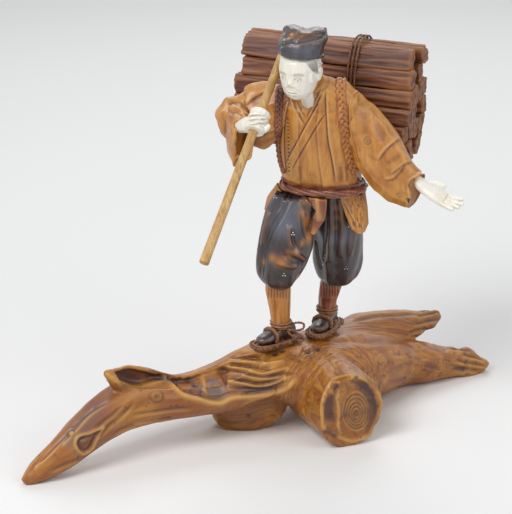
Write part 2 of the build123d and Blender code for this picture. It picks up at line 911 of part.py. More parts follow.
# The cord's points in each turn, where the first turn starts and the nudge that gives its direction
cord_points = 8
cord_sides = 5
cord_start_share = 0.5
nudge_share = 1e-4
measured_steps = 200
neighbour_steps = 60


def hull_point(turn, along):
    # A point of the cord's path round the bundle, turn counted in whole turns
    angle = 2 * math.pi * turn
    c = math.cos(angle)
    s = math.sin(angle)
    reach = 1 / (abs(c) ** hull_power + abs(s) ** hull_power) ** (1 / hull_power)
    stand = cord_room + cord_diameter / 2
    back = front_of(bundle_turn) * -1
    half_height = bundle_height / 2 / hull_crown_share
    return (
        bundle_centre
        + side_of(bundle_turn) * along
        + back * (c * reach * (bundle_thickness / 2 + stand))
        + up * (s * reach * (half_height + stand))
    )


def cord_path():
    # Biarcs through the points of each turn, each pair of arcs tangent to the winding
    steps = cord_turns * cord_points
    points = []
    tangents = []
    start_along = bundle_cord_share * bundle_length

    def at(turn):
        return hull_point(turn - cord_start_share, start_along + turn * cord_pitch)

    for step in range(steps + 1):
        turn = step / cord_points
        points.append(at(turn))
        tangents.append((at(turn + nudge_share) - at(turn - nudge_share)).normalized())
    edges = []
    edges.append(Edge.make_line(points[0] - tangents[0] * cord_diameter, points[0]))
    for step in range(steps):
        start, end = points[step], points[step + 1]
        first, last = tangents[step], tangents[step + 1]
        chord = end - start
        both = first + last
        spread = 2 * (1 - first.dot(last))
        reach = (-chord.dot(both) + math.sqrt(chord.dot(both) ** 2 + spread * chord.dot(chord))) / spread
        knee = start + first * reach
        other = end - last * reach
        middle = (knee + other) / 2
        edges.append(Edge.make_tangent_arc(start, first, middle))
        edges.append(Edge.make_tangent_arc(middle, other - knee, end))
    edges.append(Edge.make_line(points[-1], points[-1] + tangents[-1] * cord_diameter))
    return Wire(edges)


def bundle_cord():
    path = cord_path()
    plane = Plane(origin=path @ 0, z_dir=path % 0)
    tube = sweep(plane * RegularPolygon(cord_diameter / 2, cord_sides), path=path)
    count = cord_turns * measured_steps
    spots = [path @ (index / count) for index in range(count + 1)]
    least = bundle_length
    for index, spot in enumerate(spots):
        for other in spots[index + neighbour_steps:]:
            least = min(least, (other - spot).length)
    print("cord length", round(path.length, 1), "least gap to itself", round(least - cord_diameter, 2))
    return tube


bundle_dowel_seat_shares = (0.33, 0.02, 5.05)
bundle_dowel_rise_shares = (-0.22, 0.22)


def foot_dowel(which):
    top = foot_spot(which) + up * (sandal_thickness + foot_height / 2)
    return rod(top, up * -1, foot_dowel_length, dowel_diameter / 2)


def bundle_dowels():
    back = front_of(bundle_turn) * -1
    pins = None
    for rise_share in bundle_dowel_rise_shares:
        start = heads(*bundle_dowel_seat_shares) + up * (rise_share * head_height)
        pin = rod(start, back, bundle_dowel_length, dowel_diameter / 2)
        pins = pin if pins is None else pins + pin
    return pins


def half_space(side):
    # All that lies above or below the belt line
    block = Box(base_length, base_length, base_length, align=(Align.CENTER, Align.CENTER, side))
    return belt_line() * block


def build():
    parts = {}
    root = root_body()
    robe_body = robe()
    ivory_head = head()
    way = staff_way(staff_room)
    right_leg = leg(right_leg_shares)
    left_leg = leg(left_leg_shares)
    right_shin = form(right_shin_shares, heads, calf_width, calf_width, side=side_of(hip_turn))
    left_shin = form(left_shin_shares, heads, calf_width, calf_width, side=side_of(hip_turn))
    above = half_space(Align.MIN)
    below = half_space(Align.MAX)
    parts["robe_body"] = robe_body - below - ivory_head - way
    parts["head"] = ivory_head
    parts["hat"] = hat() - ivory_head - way
    left_leg = whole(left_leg - right_leg - above)
    right_leg = whole(right_leg - above)
    parts["right_trouser_leg"] = right_leg - right_shin
    parts["left_trouser_leg"] = left_leg - left_shin
    belt = sash()
    parts["sash"] = belt
    trunk = parts["robe_body"]
    parts["apron_panel"] = whole(flap(apron_shares, hip_turn) - right_leg - left_leg - belt - trunk)
    parts["left_robe_flap"] = whole(flap(left_flap_shares, left_flap_turn) - left_leg - belt - trunk)
    parts["right_robe_flap"] = whole(flap(right_flap_shares, right_flap_turn) - right_leg - belt - trunk)
    shins = {"right": (right_shin, right_shin_shares), "left": (left_shin, left_shin_shares)}
    for which, (shin, shares) in shins.items():
        tabi = foot(which)
        shoe = sandal(which)
        dowel = foot_dowel(which)
        parts[which + "_foot_dowel"] = dowel
        parts[which + "_foot"] = tabi - shoe - shin - dowel
        parts[which + "_shin"] = shin - dowel
        parts[which + "_sandal"] = shoe - dowel
        parts[which + "_sandal_ties"] = Compound(ties(which, shares, tabi, shin))
        seat = extrude(sole_outline(which, sandal_rim), amount=overrun)
        root = root - seat - dowel
    parts["root_base"] = whole(root)
    vest = vest_form()
    right_arm = whole(right_sleeve() - vest - way)
    left_arm = whole(left_sleeve() - vest)
    fist = right_hand()
    palm = left_hand()
    parts["right_sleeve"] = right_arm - fist
    parts["left_sleeve"] = left_arm - palm
    parts["right_hand"] = fist
    parts["left_hand"] = palm
    parts["right_strap"] = whole(strap(right_strap_shares) - vest - right_arm - ivory_head - way - belt)
    parts["left_strap"] = whole(strap(left_strap_shares) - vest - left_arm - ivory_head - belt)
    parts["staff"] = staff()
    pins = bundle_dowels()
    parts["bundle_dowels"] = pins
    parts["robe_body"] = whole(parts["robe_body"] - pins)
    for index, stick in enumerate(sticks()):
        parts[f"stick_{index + 1:02d}"] = stick - pins
    parts["bundle_cord"] = bundle_cord()
    return parts


parts = build()
lows = [part.bounding_box().min for part in parts.values()]
highs = [part.bounding_box().max for part in parts.values()]
low = Vector(min(v.X for v in lows), min(v.Y for v in lows), min(v.Z for v in lows))
high = Vector(max(v.X for v in highs), max(v.Y for v in highs), max(v.Z for v in highs))
origin = Vector((low.X + high.X) / 2, (low.Y + high.Y) / 2, low.Z)
print("origin in the layout", origin)
print("size", high - low)
os.makedirs("parts", exist_ok=True)
for name, part in parts.items():
    export_step(Pos(*(origin * -1)) * part, f"parts/{name}.step")
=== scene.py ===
import bpy
import math
import random
import numpy as np
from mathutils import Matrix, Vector, noise
from mathutils.bvhtree import BVHTree


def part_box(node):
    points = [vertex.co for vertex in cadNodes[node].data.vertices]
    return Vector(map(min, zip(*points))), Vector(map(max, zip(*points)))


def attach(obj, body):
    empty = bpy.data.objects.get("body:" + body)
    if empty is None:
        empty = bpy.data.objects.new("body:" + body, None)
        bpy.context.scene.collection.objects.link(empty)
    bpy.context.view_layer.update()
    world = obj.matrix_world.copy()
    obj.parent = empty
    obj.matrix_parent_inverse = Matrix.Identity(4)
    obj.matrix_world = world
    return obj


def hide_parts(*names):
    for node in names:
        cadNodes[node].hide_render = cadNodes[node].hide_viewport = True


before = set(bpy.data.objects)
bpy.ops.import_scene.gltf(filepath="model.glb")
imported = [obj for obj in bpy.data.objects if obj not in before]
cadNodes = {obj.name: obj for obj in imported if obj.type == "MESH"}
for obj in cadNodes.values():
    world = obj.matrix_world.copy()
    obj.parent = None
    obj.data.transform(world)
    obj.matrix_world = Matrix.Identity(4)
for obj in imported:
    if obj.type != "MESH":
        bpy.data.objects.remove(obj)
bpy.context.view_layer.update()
mm = 0.001
layoutOrigin = Vector((8.078, 5.42, 1.5))  # where the carving's middle lies in the sculptor's layout, in mm
bundleTurn = math.radians(21)  # the firewood lies this far round from square


viewpoint = {
    "target": (0.0, 0.0, 120.0),  # layout, mm
    "distance": 1400.0,
    "elevation": 20.0,
    "lens": 150.8,
    "sensor": 36.0,
    "frameWidth": 512,
    "frameHeight": 514,
}


def fromLayout(x, y, z):
    return (Vector((x, y, z)) - layoutOrigin) * mm


def viewAxes():
    tilt = math.radians(viewpoint["elevation"])
    eye = fromLayout(*viewpoint["target"])
    eye += Vector((0, -math.cos(tilt), math.sin(tilt))) * viewpoint["distance"] * mm
    ahead = Vector((0, math.cos(tilt), -math.sin(tilt)))
    above = Vector((0, math.sin(tilt), math.cos(tilt)))
    return eye, ahead, above, viewpoint["sensor"] / viewpoint["lens"] / viewpoint["frameHeight"]


def sightLine(px, py):
    # The ray from the camera through a pixel of the photograph's frame
    eye, ahead, above, perPixel = viewAxes()
    across = (px - viewpoint["frameWidth"] / 2) * perPixel
    rise = (viewpoint["frameHeight"] / 2 - py) * perPixel
    return eye, (ahead + Vector((1, 0, 0)) * across + above * rise).normalized()


def setOut(name, data):
    piece = bpy.data.objects.new(name, data)
    bpy.context.scene.collection.objects.link(piece)
    return piece


def placeCamera():
    camera = bpy.data.cameras.new("studioCamera")
    camera.lens = viewpoint["lens"]
    camera.sensor_width = viewpoint["sensor"]
    camera.clip_start = 0.05
    camera.clip_end = 20
    holder = setOut("studioCamera", camera)
    eye, ahead = sightLine(viewpoint["frameWidth"] / 2, viewpoint["frameHeight"] / 2)
    holder.location = eye
    holder.rotation_euler = ahead.to_track_quat("-Z", "Y").to_euler()
    bpy.context.scene.camera = holder


placeCamera()
print("camera placed")


# carving tools
def pickOnly(*pieces):
    bpy.ops.object.select_all(action="DESELECT")
    for piece in pieces:
        piece.select_set(True)
    bpy.context.view_layer.objects.active = pieces[0]


def applyModifier(piece, kind, **values):
    modifier = piece.modifiers.new(kind.title(), kind)
    for key, value in values.items():
        setattr(modifier, key, value)
    pickOnly(piece)
    bpy.ops.object.modifier_apply(modifier=modifier.name)


def joinTo(piece, *others):
    pickOnly(piece, *others)
    bpy.ops.object.join()


def editAll(piece, work, **values):
    pickOnly(piece)
    bpy.ops.object.mode_set(mode="EDIT")
    bpy.ops.mesh.select_all(action="SELECT")
    work(**values)
    bpy.ops.object.mode_set(mode="OBJECT")


def copyNode(node, name):
    # A copy of the CAD solid, its loose triangles merged
    piece = setOut(name, cadNodes[node].data.copy())
    piece.data.materials.clear()
    editAll(piece, bpy.ops.mesh.remove_doubles, threshold=0.000002)
    return piece


def roughOut(node, name, cell, smoothing=6, swell=0.0):
    # The blank: the CAD solid in fine even cells, its facets rubbed down
    piece = copyNode(node, name)
    applyModifier(piece, "REMESH", mode="VOXEL", voxel_size=cell * mm)
    if smoothing:
        applyModifier(piece, "SMOOTH", factor=0.5, iterations=smoothing)
    if swell:
        applyModifier(piece, "DISPLACE", strength=swell * mm, mid_level=0)
    return piece


def readVertices(mesh, name):
    rows = np.empty(len(mesh.vertices) * 3)
    mesh.vertices.foreach_get(name, rows)
    return rows.reshape(-1, 3)


def pullStock(piece, pulls):
    # Grab and pull, as by hand: each row moves the stock round a pixel by a few pixels, softly to its reach
    mesh = piece.data
    points = readVertices(mesh, "co")
    eye, ahead, above, perPixel = viewAxes()
    floor = np.minimum(points[:, 2], 0)
    for px, py, reach, right, down, *nearer in pulls:
        offset = points - np.array(eye)
        depth = offset @ np.array(ahead)
        across = viewpoint["frameWidth"] / 2 + offset[:, 0] / depth / perPixel - px
        below = viewpoint["frameHeight"] / 2 - offset @ np.array(above) / depth / perPixel - py
        share = np.clip(1 - (across ** 2 + below ** 2) / reach ** 2, 0, 1) ** 2 * perPixel * depth
        points[:, 0] += share * right
        points -= (share * down)[:, None] * np.array(above)
        if nearer:
            points -= (share / perPixel / depth * nearer[0] * mm)[:, None] * np.array(ahead)
    points[:, 2] = np.maximum(points[:, 2], floor)
    mesh.vertices.foreach_set("co", points.ravel())
    mesh.update()


# Three tints painted into the colour: the first is real stain in the cuts and also painted shade in hollows, inside the
# sleeves and on the shaded parts of the root; the second is rubbed wear; the third is real tone on the firewood and the
# hair, painted grey shade on the root and a painted bluish sheen on the black-stained cloth
tones = ("stain", "worn", "smoke")


def layTone(mesh, tone, values):
    layer = mesh.attributes.new(tone, "FLOAT", "POINT")
    layer.data.foreach_set("value", values.astype(np.float32))


def openSurface(piece):
    # The working sheet of a piece: points, normals and the three tints, with a tree for finding the surface
    mesh = piece.data
    points = readVertices(mesh, "co")
    sheet = {"piece": piece, "points": points, "normals": readVertices(mesh, "normal")}
    for tone in tones:
        sheet[tone] = np.zeros(len(points))
    faces = [tuple(face.vertices) for face in mesh.polygons]
    sheet["tree"] = BVHTree.FromPolygons([Vector(point) for point in points], faces)
    return sheet


def closeSurface(sheet):
    mesh = sheet["piece"].data
    mesh.vertices.foreach_set("co", sheet["points"].ravel())
    for tone in tones:
        layTone(mesh, tone, np.clip(sheet[tone], 0, 1))
    mesh.update()
    pickOnly(sheet["piece"])
    bpy.ops.object.shade_smooth()


def flowing(corners, steps=6):
    # A smooth line through a few chosen points
    rows = [np.array(corner, float) for corner in corners]
    if len(rows) < 3:
        return [rows[0] + (rows[1] - rows[0]) * step / steps for step in range(steps + 1)]
    line = []
    for index in range(len(rows) - 1):
        before = rows[max(index - 1, 0)]
        start, end = rows[index], rows[index + 1]
        after = rows[min(index + 2, len(rows) - 1)]
        for step in range(steps):
            u = step / steps
            bend = u * (2 * before - 5 * start + 4 * end - after + u * (3 * start - before - 3 * end + after))
            line.append(start + 0.5 * u * (end - before + bend))
    line.append(rows[-1])
    return line


def metPlaces(hits):
    # The places and facings of the rays that met a surface
    met = [hit for hit in hits if hit[0] is not None]
    return [np.array(hit[0]) for hit in met], [np.array(hit[1]) for hit in met]


def onSurface(sheet, pixels, steps=6):
    # Points of the surface under a line drawn in the photograph's frame
    return metPlaces([sheet["tree"].ray_cast(*sightLine(*pixel)) for pixel in flowing(pixels, steps)])


def onNearest(sheets, pixels, steps=8):
    # A line drawn over several pieces, each point on the one that is seen
    found = []
    for pixel in flowing(pixels, steps):
        eye, way = sightLine(*pixel)
        hits = [sheet["tree"].ray_cast(eye, way) for sheet in sheets]
        hits = [hit for hit in hits if hit[0] is not None]
        if hits:
            found.append(min(hits, key=lambda hit: (hit[0] - eye).length))
    return metPlaces(found)


def nearLine(sheet, places, ways, reach):
    # The points near a line, with their distance from it, their side of it and how far along they lie
    line = np.array(places)
    low = line.min(0) - reach
    high = line.max(0) + reach
    near = np.nonzero(np.all((sheet["points"] > low) & (sheet["points"] < high), axis=1))[0]
    points = sheet["points"][near]
    best = np.full(len(near), 1e9)
    side = np.zeros(len(near))
    along = np.zeros(len(near))
    facing = np.zeros(len(near))
    lengths = np.linalg.norm(line[1:] - line[:-1], axis=1)
    total = max(lengths.sum(), 1e-9)
    done = 0.0
    for index in range(len(line) - 1):
        run = line[index + 1] - line[index]
        length = max(lengths[index], 1e-9)
        share = np.clip((points - line[index]) @ run / length ** 2, 0, 1)
        away = points - (line[index] + share[:, None] * run)
        distance = np.linalg.norm(away, axis=1)
        closer = distance < best
        across = np.cross(run / length, ways[index])
        best = np.where(closer, distance, best)
        side = np.where(closer, away @ across, side)
        along = np.where(closer, (done + share * length) / total, along)
        facing = np.where(closer, sheet["normals"][near] @ ways[index], facing)
        done += length
    keep = (best < reach) & (facing > 0.1)
    return near[keep], best[keep], side[keep], along[keep]


def pressTool(sheet, near, mark, depth, stain=0.0, worn=0.0, smoke=0.0):
    # Move the surface by a tool's mark, depth in mm, and tint it
    sheet["points"][near] -= sheet["normals"][near] * (mark * depth * mm)[:, None]
    for tone, share in zip(tones, (stain, worn, smoke)):
        sheet[tone][near] += mark * share


def chisel(sheet, pixels, width, depth, taper=0.2, line=None, **tints):
    # A groove along a line, or a raised ridge where the depth is below zero; width and depth in mm
    places, ways = line or onSurface(sheet, pixels)
    if len(places) < 2:
        return
    near, distance, _, along = nearLine(sheet, places, ways, width * 3 * mm)
    ends = np.clip(np.minimum(along, 1 - along) / taper, 0, 1) ** 0.5 if taper else 1.0
    pressTool(sheet, near, np.exp(-((distance / (width * mm)) ** 2)) * ends, depth, **tints)


def foldEdge(sheet, pixels, height, reach, stain=0.5, worn=0.35, flip=False, sharp=0.45):
    # The edge of an upper layer of cloth: a step up on one side of the line, dying away with distance
    places, ways = onSurface(sheet, pixels)
    if len(places) < 2:
        return
    near, _, side, along = nearLine(sheet, places, ways, reach * 2.5 * mm)
    side = -side if flip else side
    ends = np.clip(np.minimum(along, 1 - along) / 0.12, 0, 1)
    step = 1 / (1 + np.exp(-side / (sharp * 0.35 * mm)))
    lift = step * np.exp(-np.maximum(side, 0) / (reach * mm)) * ends
    sheet["points"][near] += sheet["normals"][near] * (lift * height * mm)[:, None]
    low = np.exp(-(((side + sharp * mm) / (sharp * mm)) ** 2)) * ends
    crest = np.exp(-(((side - sharp * 1.2 * mm) / (sharp * mm)) ** 2)) * ends
    sheet["stain"][near] += low * stain
    sheet["worn"][near] += crest * worn


def dent(sheet, place, way, width, depth, stretch=1.0, turn=0.0, **tints):
    # A dent at a place, or a boss where the depth is below zero
    offset = sheet["points"] - place
    across = np.array((math.cos(turn), 0, math.sin(turn)))
    longwise = (offset @ across) / stretch
    rest = offset - np.outer(offset @ across, across)
    distance = np.sqrt(longwise ** 2 + (rest ** 2).sum(1))
    near = np.nonzero((distance < width * 3 * mm) & (sheet["normals"] @ way > 0))[0]
    pressTool(sheet, near, np.exp(-((distance[near] / (width * mm)) ** 2)), depth, **tints)


def punch(sheet, px, py, width, depth, **shape):
    # The same at a pixel of the photograph's frame
    places, ways = onSurface(sheet, [(px, py), (px, py)], 1)
    if places:
        dent(sheet, places[0], ways[0], width, depth, **shape)


def curl(sheet, px, py, size, turns, start, width=0.35, depth=0.35):
    # A scroll of the cloud pattern
    pixels = []
    for step in range(int(turns * 10) + 1):
        share = step / (turns * 10)
        angle = start + share * turns * 2 * math.pi
        reach = size * (0.15 + 0.85 * share)
        pixels.append((px + reach * math.cos(angle), py + reach * math.sin(angle)))
    line = onSurface(sheet, pixels, 1)
    chisel(sheet, None, width, depth, stain=0.35, taper=0.05, line=line)
    chisel(sheet, None, width * 2.4, -depth * 0.7, worn=0.25, taper=0.05, line=line)


# materials
def addNode(tree, kind, feeds=None, **settings):
    node = tree.nodes.new(kind)
    for key, value in settings.items():
        setattr(node, key, value)
    for key, value in (feeds or {}).items():
        if isinstance(value, bpy.types.NodeSocket):
            tree.links.new(value, node.inputs[key])
        else:
            node.inputs[key].default_value = value
    return node


def newMaterial(name):
    material = bpy.data.materials.new(name)
    material.use_nodes = True
    return material, material.node_tree, material.node_tree.nodes["Principled BSDF"]


def mottle(tree, source, scale, detail, roughness=0.5, distortion=0.0):
    feeds = {"Vector": source, "Scale": scale, "Detail": detail, "Roughness": roughness, "Distortion": distortion}
    return addNode(tree, "ShaderNodeTexNoise", feeds).outputs["Fac"]


def blendColour(tree, factor, first, second, mode="MIX"):
    node = addNode(tree, "ShaderNodeMix", data_type="RGBA", blend_type=mode)
    for socket, value in ((node.inputs[0], factor), (node.inputs[6], first), (node.inputs[7], second)):
        if isinstance(value, bpy.types.NodeSocket):
            tree.links.new(value, socket)
        elif isinstance(value, tuple):
            socket.default_value = (*value, 1)
        else:
            socket.default_value = value
    return node.outputs[2]


def ramp(tree, factor, stops):
    node = addNode(tree, "ShaderNodeValToRGB", {"Fac": factor})
    while len(node.color_ramp.elements) < len(stops):
        node.color_ramp.elements.new(0.5)
    for element, (place, colour) in zip(node.color_ramp.elements, stops):
        element.position = place
        element.color = (*colour, 1)
    return node.outputs["Color"]


def scaled(tree, factor, low, high):
    node = addNode(tree, "ShaderNodeMapRange", {"Value": factor, "From Min": low, "From Max": high})
    return node.outputs["Result"]


def woodFinish(name, look):
    # Carved wood: streaks along the grain, cloudy patches, pores, dark stain in the cuts, rubbed crests
    material, tree, shader = newMaterial(name)
    if look.get("flow"):
        source = addNode(tree, "ShaderNodeAttribute", attribute_name=look["flow"]).outputs["Vector"]
    else:
        source = addNode(tree, "ShaderNodeTexCoord").outputs["Object"]
    turned = addNode(tree, "ShaderNodeMapping", {"Vector": source, "Rotation": look.get("turn", (0, 0, 0))}).outputs[0]
    stretched = addNode(tree, "ShaderNodeMapping", {"Vector": turned, "Scale": look["stretch"]}).outputs[0]
    streaks = mottle(tree, stretched, look["grain"], 5, 0.6, 0.6)
    clouds = mottle(tree, source, look["patches"], 3)
    pores = mottle(tree, stretched, look["grain"] * 5, 4, 0.7)
    colour = ramp(tree, streaks, [(0.3, look["dark"]), (0.48, look["mid"]), (0.66, look["light"])])
    colour = blendColour(tree, scaled(tree, clouds, 0.45, 0.7), colour, look["patch"])
    colour = blendColour(tree, scaled(tree, pores, 0.56, 0.75), colour, look["dark"])
    if look.get("specks"):
        specks = mottle(tree, turned, look["specks"], 2)
        colour = blendColour(tree, scaled(tree, specks, 0.66, 0.72), colour, look["stain"])
    # Each tint blends in its colour: the darker stain colour doubles as painted shade, and the third colour is painted
    # grey shade on the root and a painted bluish sheen on the black cloth, as well as real tone on firewood and hair
    for tone in ("smoke", "worn", "stain"):
        share = addNode(tree, "ShaderNodeAttribute", attribute_name=tone).outputs["Fac"]
        colour = blendColour(tree, share, colour, look.get(tone, look["stain"]))
    tree.links.new(colour, shader.inputs["Base Color"])
    smooth, dull = look["gloss"]
    gloss = addNode(tree, "ShaderNodeMapRange", {"Value": pores, "To Min": smooth, "To Max": dull})
    tree.links.new(gloss.outputs["Result"], shader.inputs["Roughness"])
    feeds = {"Height": streaks, "Strength": look["relief"], "Distance": 0.0004}
    relief = addNode(tree, "ShaderNodeBump", feeds).outputs["Normal"]
    feeds = {"Height": pores, "Strength": look["relief"] * 0.6, "Distance": 0.0002, "Normal": relief}
    tree.links.new(addNode(tree, "ShaderNodeBump", feeds).outputs["Normal"], shader.inputs["Normal"])
    shader.inputs["Coat Weight"].default_value = look.get("coat", 0.25)
    shader.inputs["Coat Roughness"].default_value = 0.22
    return material


boxwoodLook = {
    "stretch": (1.0, 1.0, 0.16),
    "grain": 300,
    "patches": 38,
    "light": (0.62, 0.300, 0.058),
    "mid": (0.53, 0.220, 0.032),
    "dark": (0.41, 0.140, 0.019),
    "patch": (0.38, 0.120, 0.020),
    "worn": (0.66, 0.34, 0.105),
    "stain": (0.085, 0.020, 0.014),
    "gloss": (0.30, 0.48),
    "relief": 0.12,
}
plaitLook = dict(
    boxwoodLook, light=(0.52, 0.22, 0.05), mid=(0.40, 0.14, 0.028),
    dark=(0.24, 0.065, 0.016), patch=(0.30, 0.09, 0.022),
)
sashLook = dict(
    boxwoodLook, light=(0.36, 0.13, 0.05), mid=(0.24, 0.075, 0.035),
    dark=(0.11, 0.030, 0.022), patch=(0.13, 0.045, 0.040),
)
ruddyLook = dict(
    boxwoodLook, light=(0.34, 0.085, 0.035), mid=(0.24, 0.052, 0.024),
    dark=(0.14, 0.028, 0.016), patch=(0.18, 0.04, 0.02),
)
shinLook = dict(
    boxwoodLook, light=(0.62, 0.28, 0.055), mid=(0.54, 0.21, 0.033),
    dark=(0.40, 0.13, 0.02), patch=(0.48, 0.17, 0.028),
)
stainedLook = {
    "stretch": (1.0, 1.0, 0.25),
    "grain": 220,
    "patches": 42,
    "light": (0.055, 0.050, 0.066),
    "mid": (0.026, 0.020, 0.025),
    "dark": (0.012, 0.007, 0.008),
    "patch": (0.034, 0.014, 0.010),
    "worn": (0.46, 0.170, 0.026),
    # painted sheen: a bluish reflection laid on the black-stained cloth
    "smoke": (0.125, 0.130, 0.175),
    "stain": (0.008, 0.005, 0.006),
    "gloss": (0.24, 0.40),
    "relief": 0.15,
    "coat": 0.4,
}
rootLook = {
    "flow": "grainFlow",
    "stretch": (0.09, 1.0, 1.0),
    "grain": 190,
    "patches": 26,
    "light": (0.54, 0.240, 0.036),
    "mid": (0.40, 0.150, 0.017),
    "dark": (0.20, 0.055, 0.009),
    "patch": (0.27, 0.070, 0.011),
    "coat": 0.14,
    "worn": (0.72, 0.40, 0.105),
    "stain": (0.070, 0.022, 0.018),
    # painted shade: the grey laid on the root's shaded hollows and arm
    "smoke": (0.135, 0.110, 0.115),
    "gloss": (0.28, 0.5),
    "relief": 0.25,
    "specks": 260,
}
firewoodLook = {
    "turn": (0, 0, bundleTurn),
    "stretch": (0.05, 1.0, 1.0),
    "grain": 330,
    "patches": 45,
    "light": (0.27, 0.095, 0.030),
    "mid": (0.115, 0.030, 0.012),
    "dark": (0.034, 0.008, 0.005),
    "patch": (0.10, 0.020, 0.010),
    "worn": (0.38, 0.160, 0.055),
    "stain": (0.030, 0.009, 0.008),
    "smoke": (0.095, 0.040, 0.030),
    "gloss": (0.5, 0.7),
    "relief": 0.5,
    "coat": 0.06,
}
staffLook = {
    "stretch": (1.0, 0.3, 0.3),
    "grain": 330,
    "patches": 60,
    "light": (0.68, 0.46, 0.19),
    "mid": (0.54, 0.32, 0.105),
    "dark": (0.34, 0.165, 0.045),
    "patch": (0.44, 0.24, 0.07),
    "worn": (0.74, 0.54, 0.27),
    "stain": (0.12, 0.05, 0.02),
    "gloss": (0.32, 0.5),
    "relief": 0.3,
}
strawLook = {
    "stretch": (1.0, 1.0, 1.0),
    "grain": 600,
    "patches": 120,
    "light": (0.36, 0.175, 0.075),
    "mid": (0.22, 0.090, 0.038),
    "dark": (0.085, 0.030, 0.018),
    "patch": (0.14, 0.050, 0.028),
    "worn": (0.50, 0.27, 0.13),
    "stain": (0.03, 0.014, 0.012),
    "gloss": (0.45, 0.65),
    "relief": 0.5,
    "coat": 0.05,
}
ivoryLook = {
    "stretch": (1.0, 1.0, 0.12),
    "grain": 160,
    "patches": 60,
    "light": (0.91, 0.88, 0.80),
    "mid": (0.88, 0.845, 0.745),
    "dark": (0.81, 0.745, 0.60),
    "patch": (0.89, 0.85, 0.75),
    "worn": (0.93, 0.91, 0.85),
    "stain": (0.24, 0.16, 0.095),
    "smoke": (0.085, 0.082, 0.072),
    "gloss": (0.22, 0.34),
    "relief": 0.03,
    "coat": 0.35,
}
boxwood = woodFinish("boxwood", boxwoodLook)
plaitWood = woodFinish("plaitWood", plaitLook)
sashWood = woodFinish("redBrownWood", sashLook)
ruddyWood = woodFinish("ruddyWood", ruddyLook)
shinWood = woodFinish("goldenWood", shinLook)
stainedWood = woodFinish("blackStainedWood", stainedLook)
rootWood = woodFinish("polishedRoot", rootLook)
firewood = woodFinish("splitFirewood", firewoodLook)
staffWood = woodFinish("paleStaffWood", staffLook)
straw = woodFinish("plaitedStraw", strawLook)
ivory = woodFinish("ivory", ivoryLook)
print("finishes mixed")


def finishPiece(piece, material, node, body="carving"):
    piece.data.materials.clear()
    piece.data.materials.append(material)
    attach(piece, body)
    if node:
        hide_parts(node)


def startPiece(node, name, cell, smoothing, pulls=(), swell=0.0):
    piece = roughOut(node, name, cell, smoothing, swell)
    if pulls:
        pullStock(piece, pulls)
    return openSurface(piece)


def endPiece(sheet, material, node, rubbing=None, body="carving"):
    if rubbing:
        wear(sheet, *rubbing)
    closeSurface(sheet)
    finishPiece(sheet["piece"], material, node, body)


# the root
rootLimbs = {
    "trunk": ([(-146, -93, 3), (-108, -66, 26), (-78, -44, 37), (-42, -24, 33), (4, -1, 40), (28, 10, 36),
               (75, 50, 25), (110, 84, 16)], 22),
    "nearLobe": ([(58, 28, 26), (82, 62, 20), (115, 76, 14), (163, 88, 7)], 20),
    "farWing": ([(48, 38, 36), (75, 72, 37), (103, 93, 34), (128, 112, 34)], 16),
    "stub": ([(40, 10, 29), (52, -15, 28), (64, -42, 27)], 22),
    "knob": ([(-32, -3, 10), (6, -3, 10)], 14),
}


def layGrain(sheet):
    # Grain follows each limb: length along it, then the place across it, blended where limbs meet
    points = sheet["points"]
    total = np.zeros(len(points))
    flow = np.zeros((len(points), 3))
    for number, (path, thickness) in enumerate(rootLimbs.values()):
        line = [np.array(fromLayout(*place)) for place in flowing(path, 4)]
        best = np.full(len(points), 1e9)
        along = np.zeros(len(points))
        across = np.zeros((len(points), 2))
        done = 0.0
        for start, end in zip(line, line[1:]):
            run = end - start
            length = np.linalg.norm(run)
            run = run / length
            level = np.array((-run[1], run[0], 0)) / max(math.hypot(run[0], run[1]), 1e-6)
            rise = np.cross(run, level)
            share = np.clip((points - start) @ run, 0, length)
            away = points - start - share[:, None] * run
            distance = np.linalg.norm(away, axis=1)
            closer = distance < best
            best = np.where(closer, distance, best)
            along = np.where(closer, done + share, along)
            across[closer] = np.stack((away[closer] @ level, away[closer] @ rise), axis=1)
            done += length
        weight = 1 / (best / (thickness * mm)) ** 6
        total += weight
        flow += weight[:, None] * np.column_stack((along + number * 0.37, across))
    flow = (flow / total[:, None]).astype(np.float32)
    layer = sheet["piece"].data.attributes.new(rootLook["flow"], "FLOAT_VECTOR", "POINT")
    layer.data.foreach_set("vector", flow.ravel())
    return flow


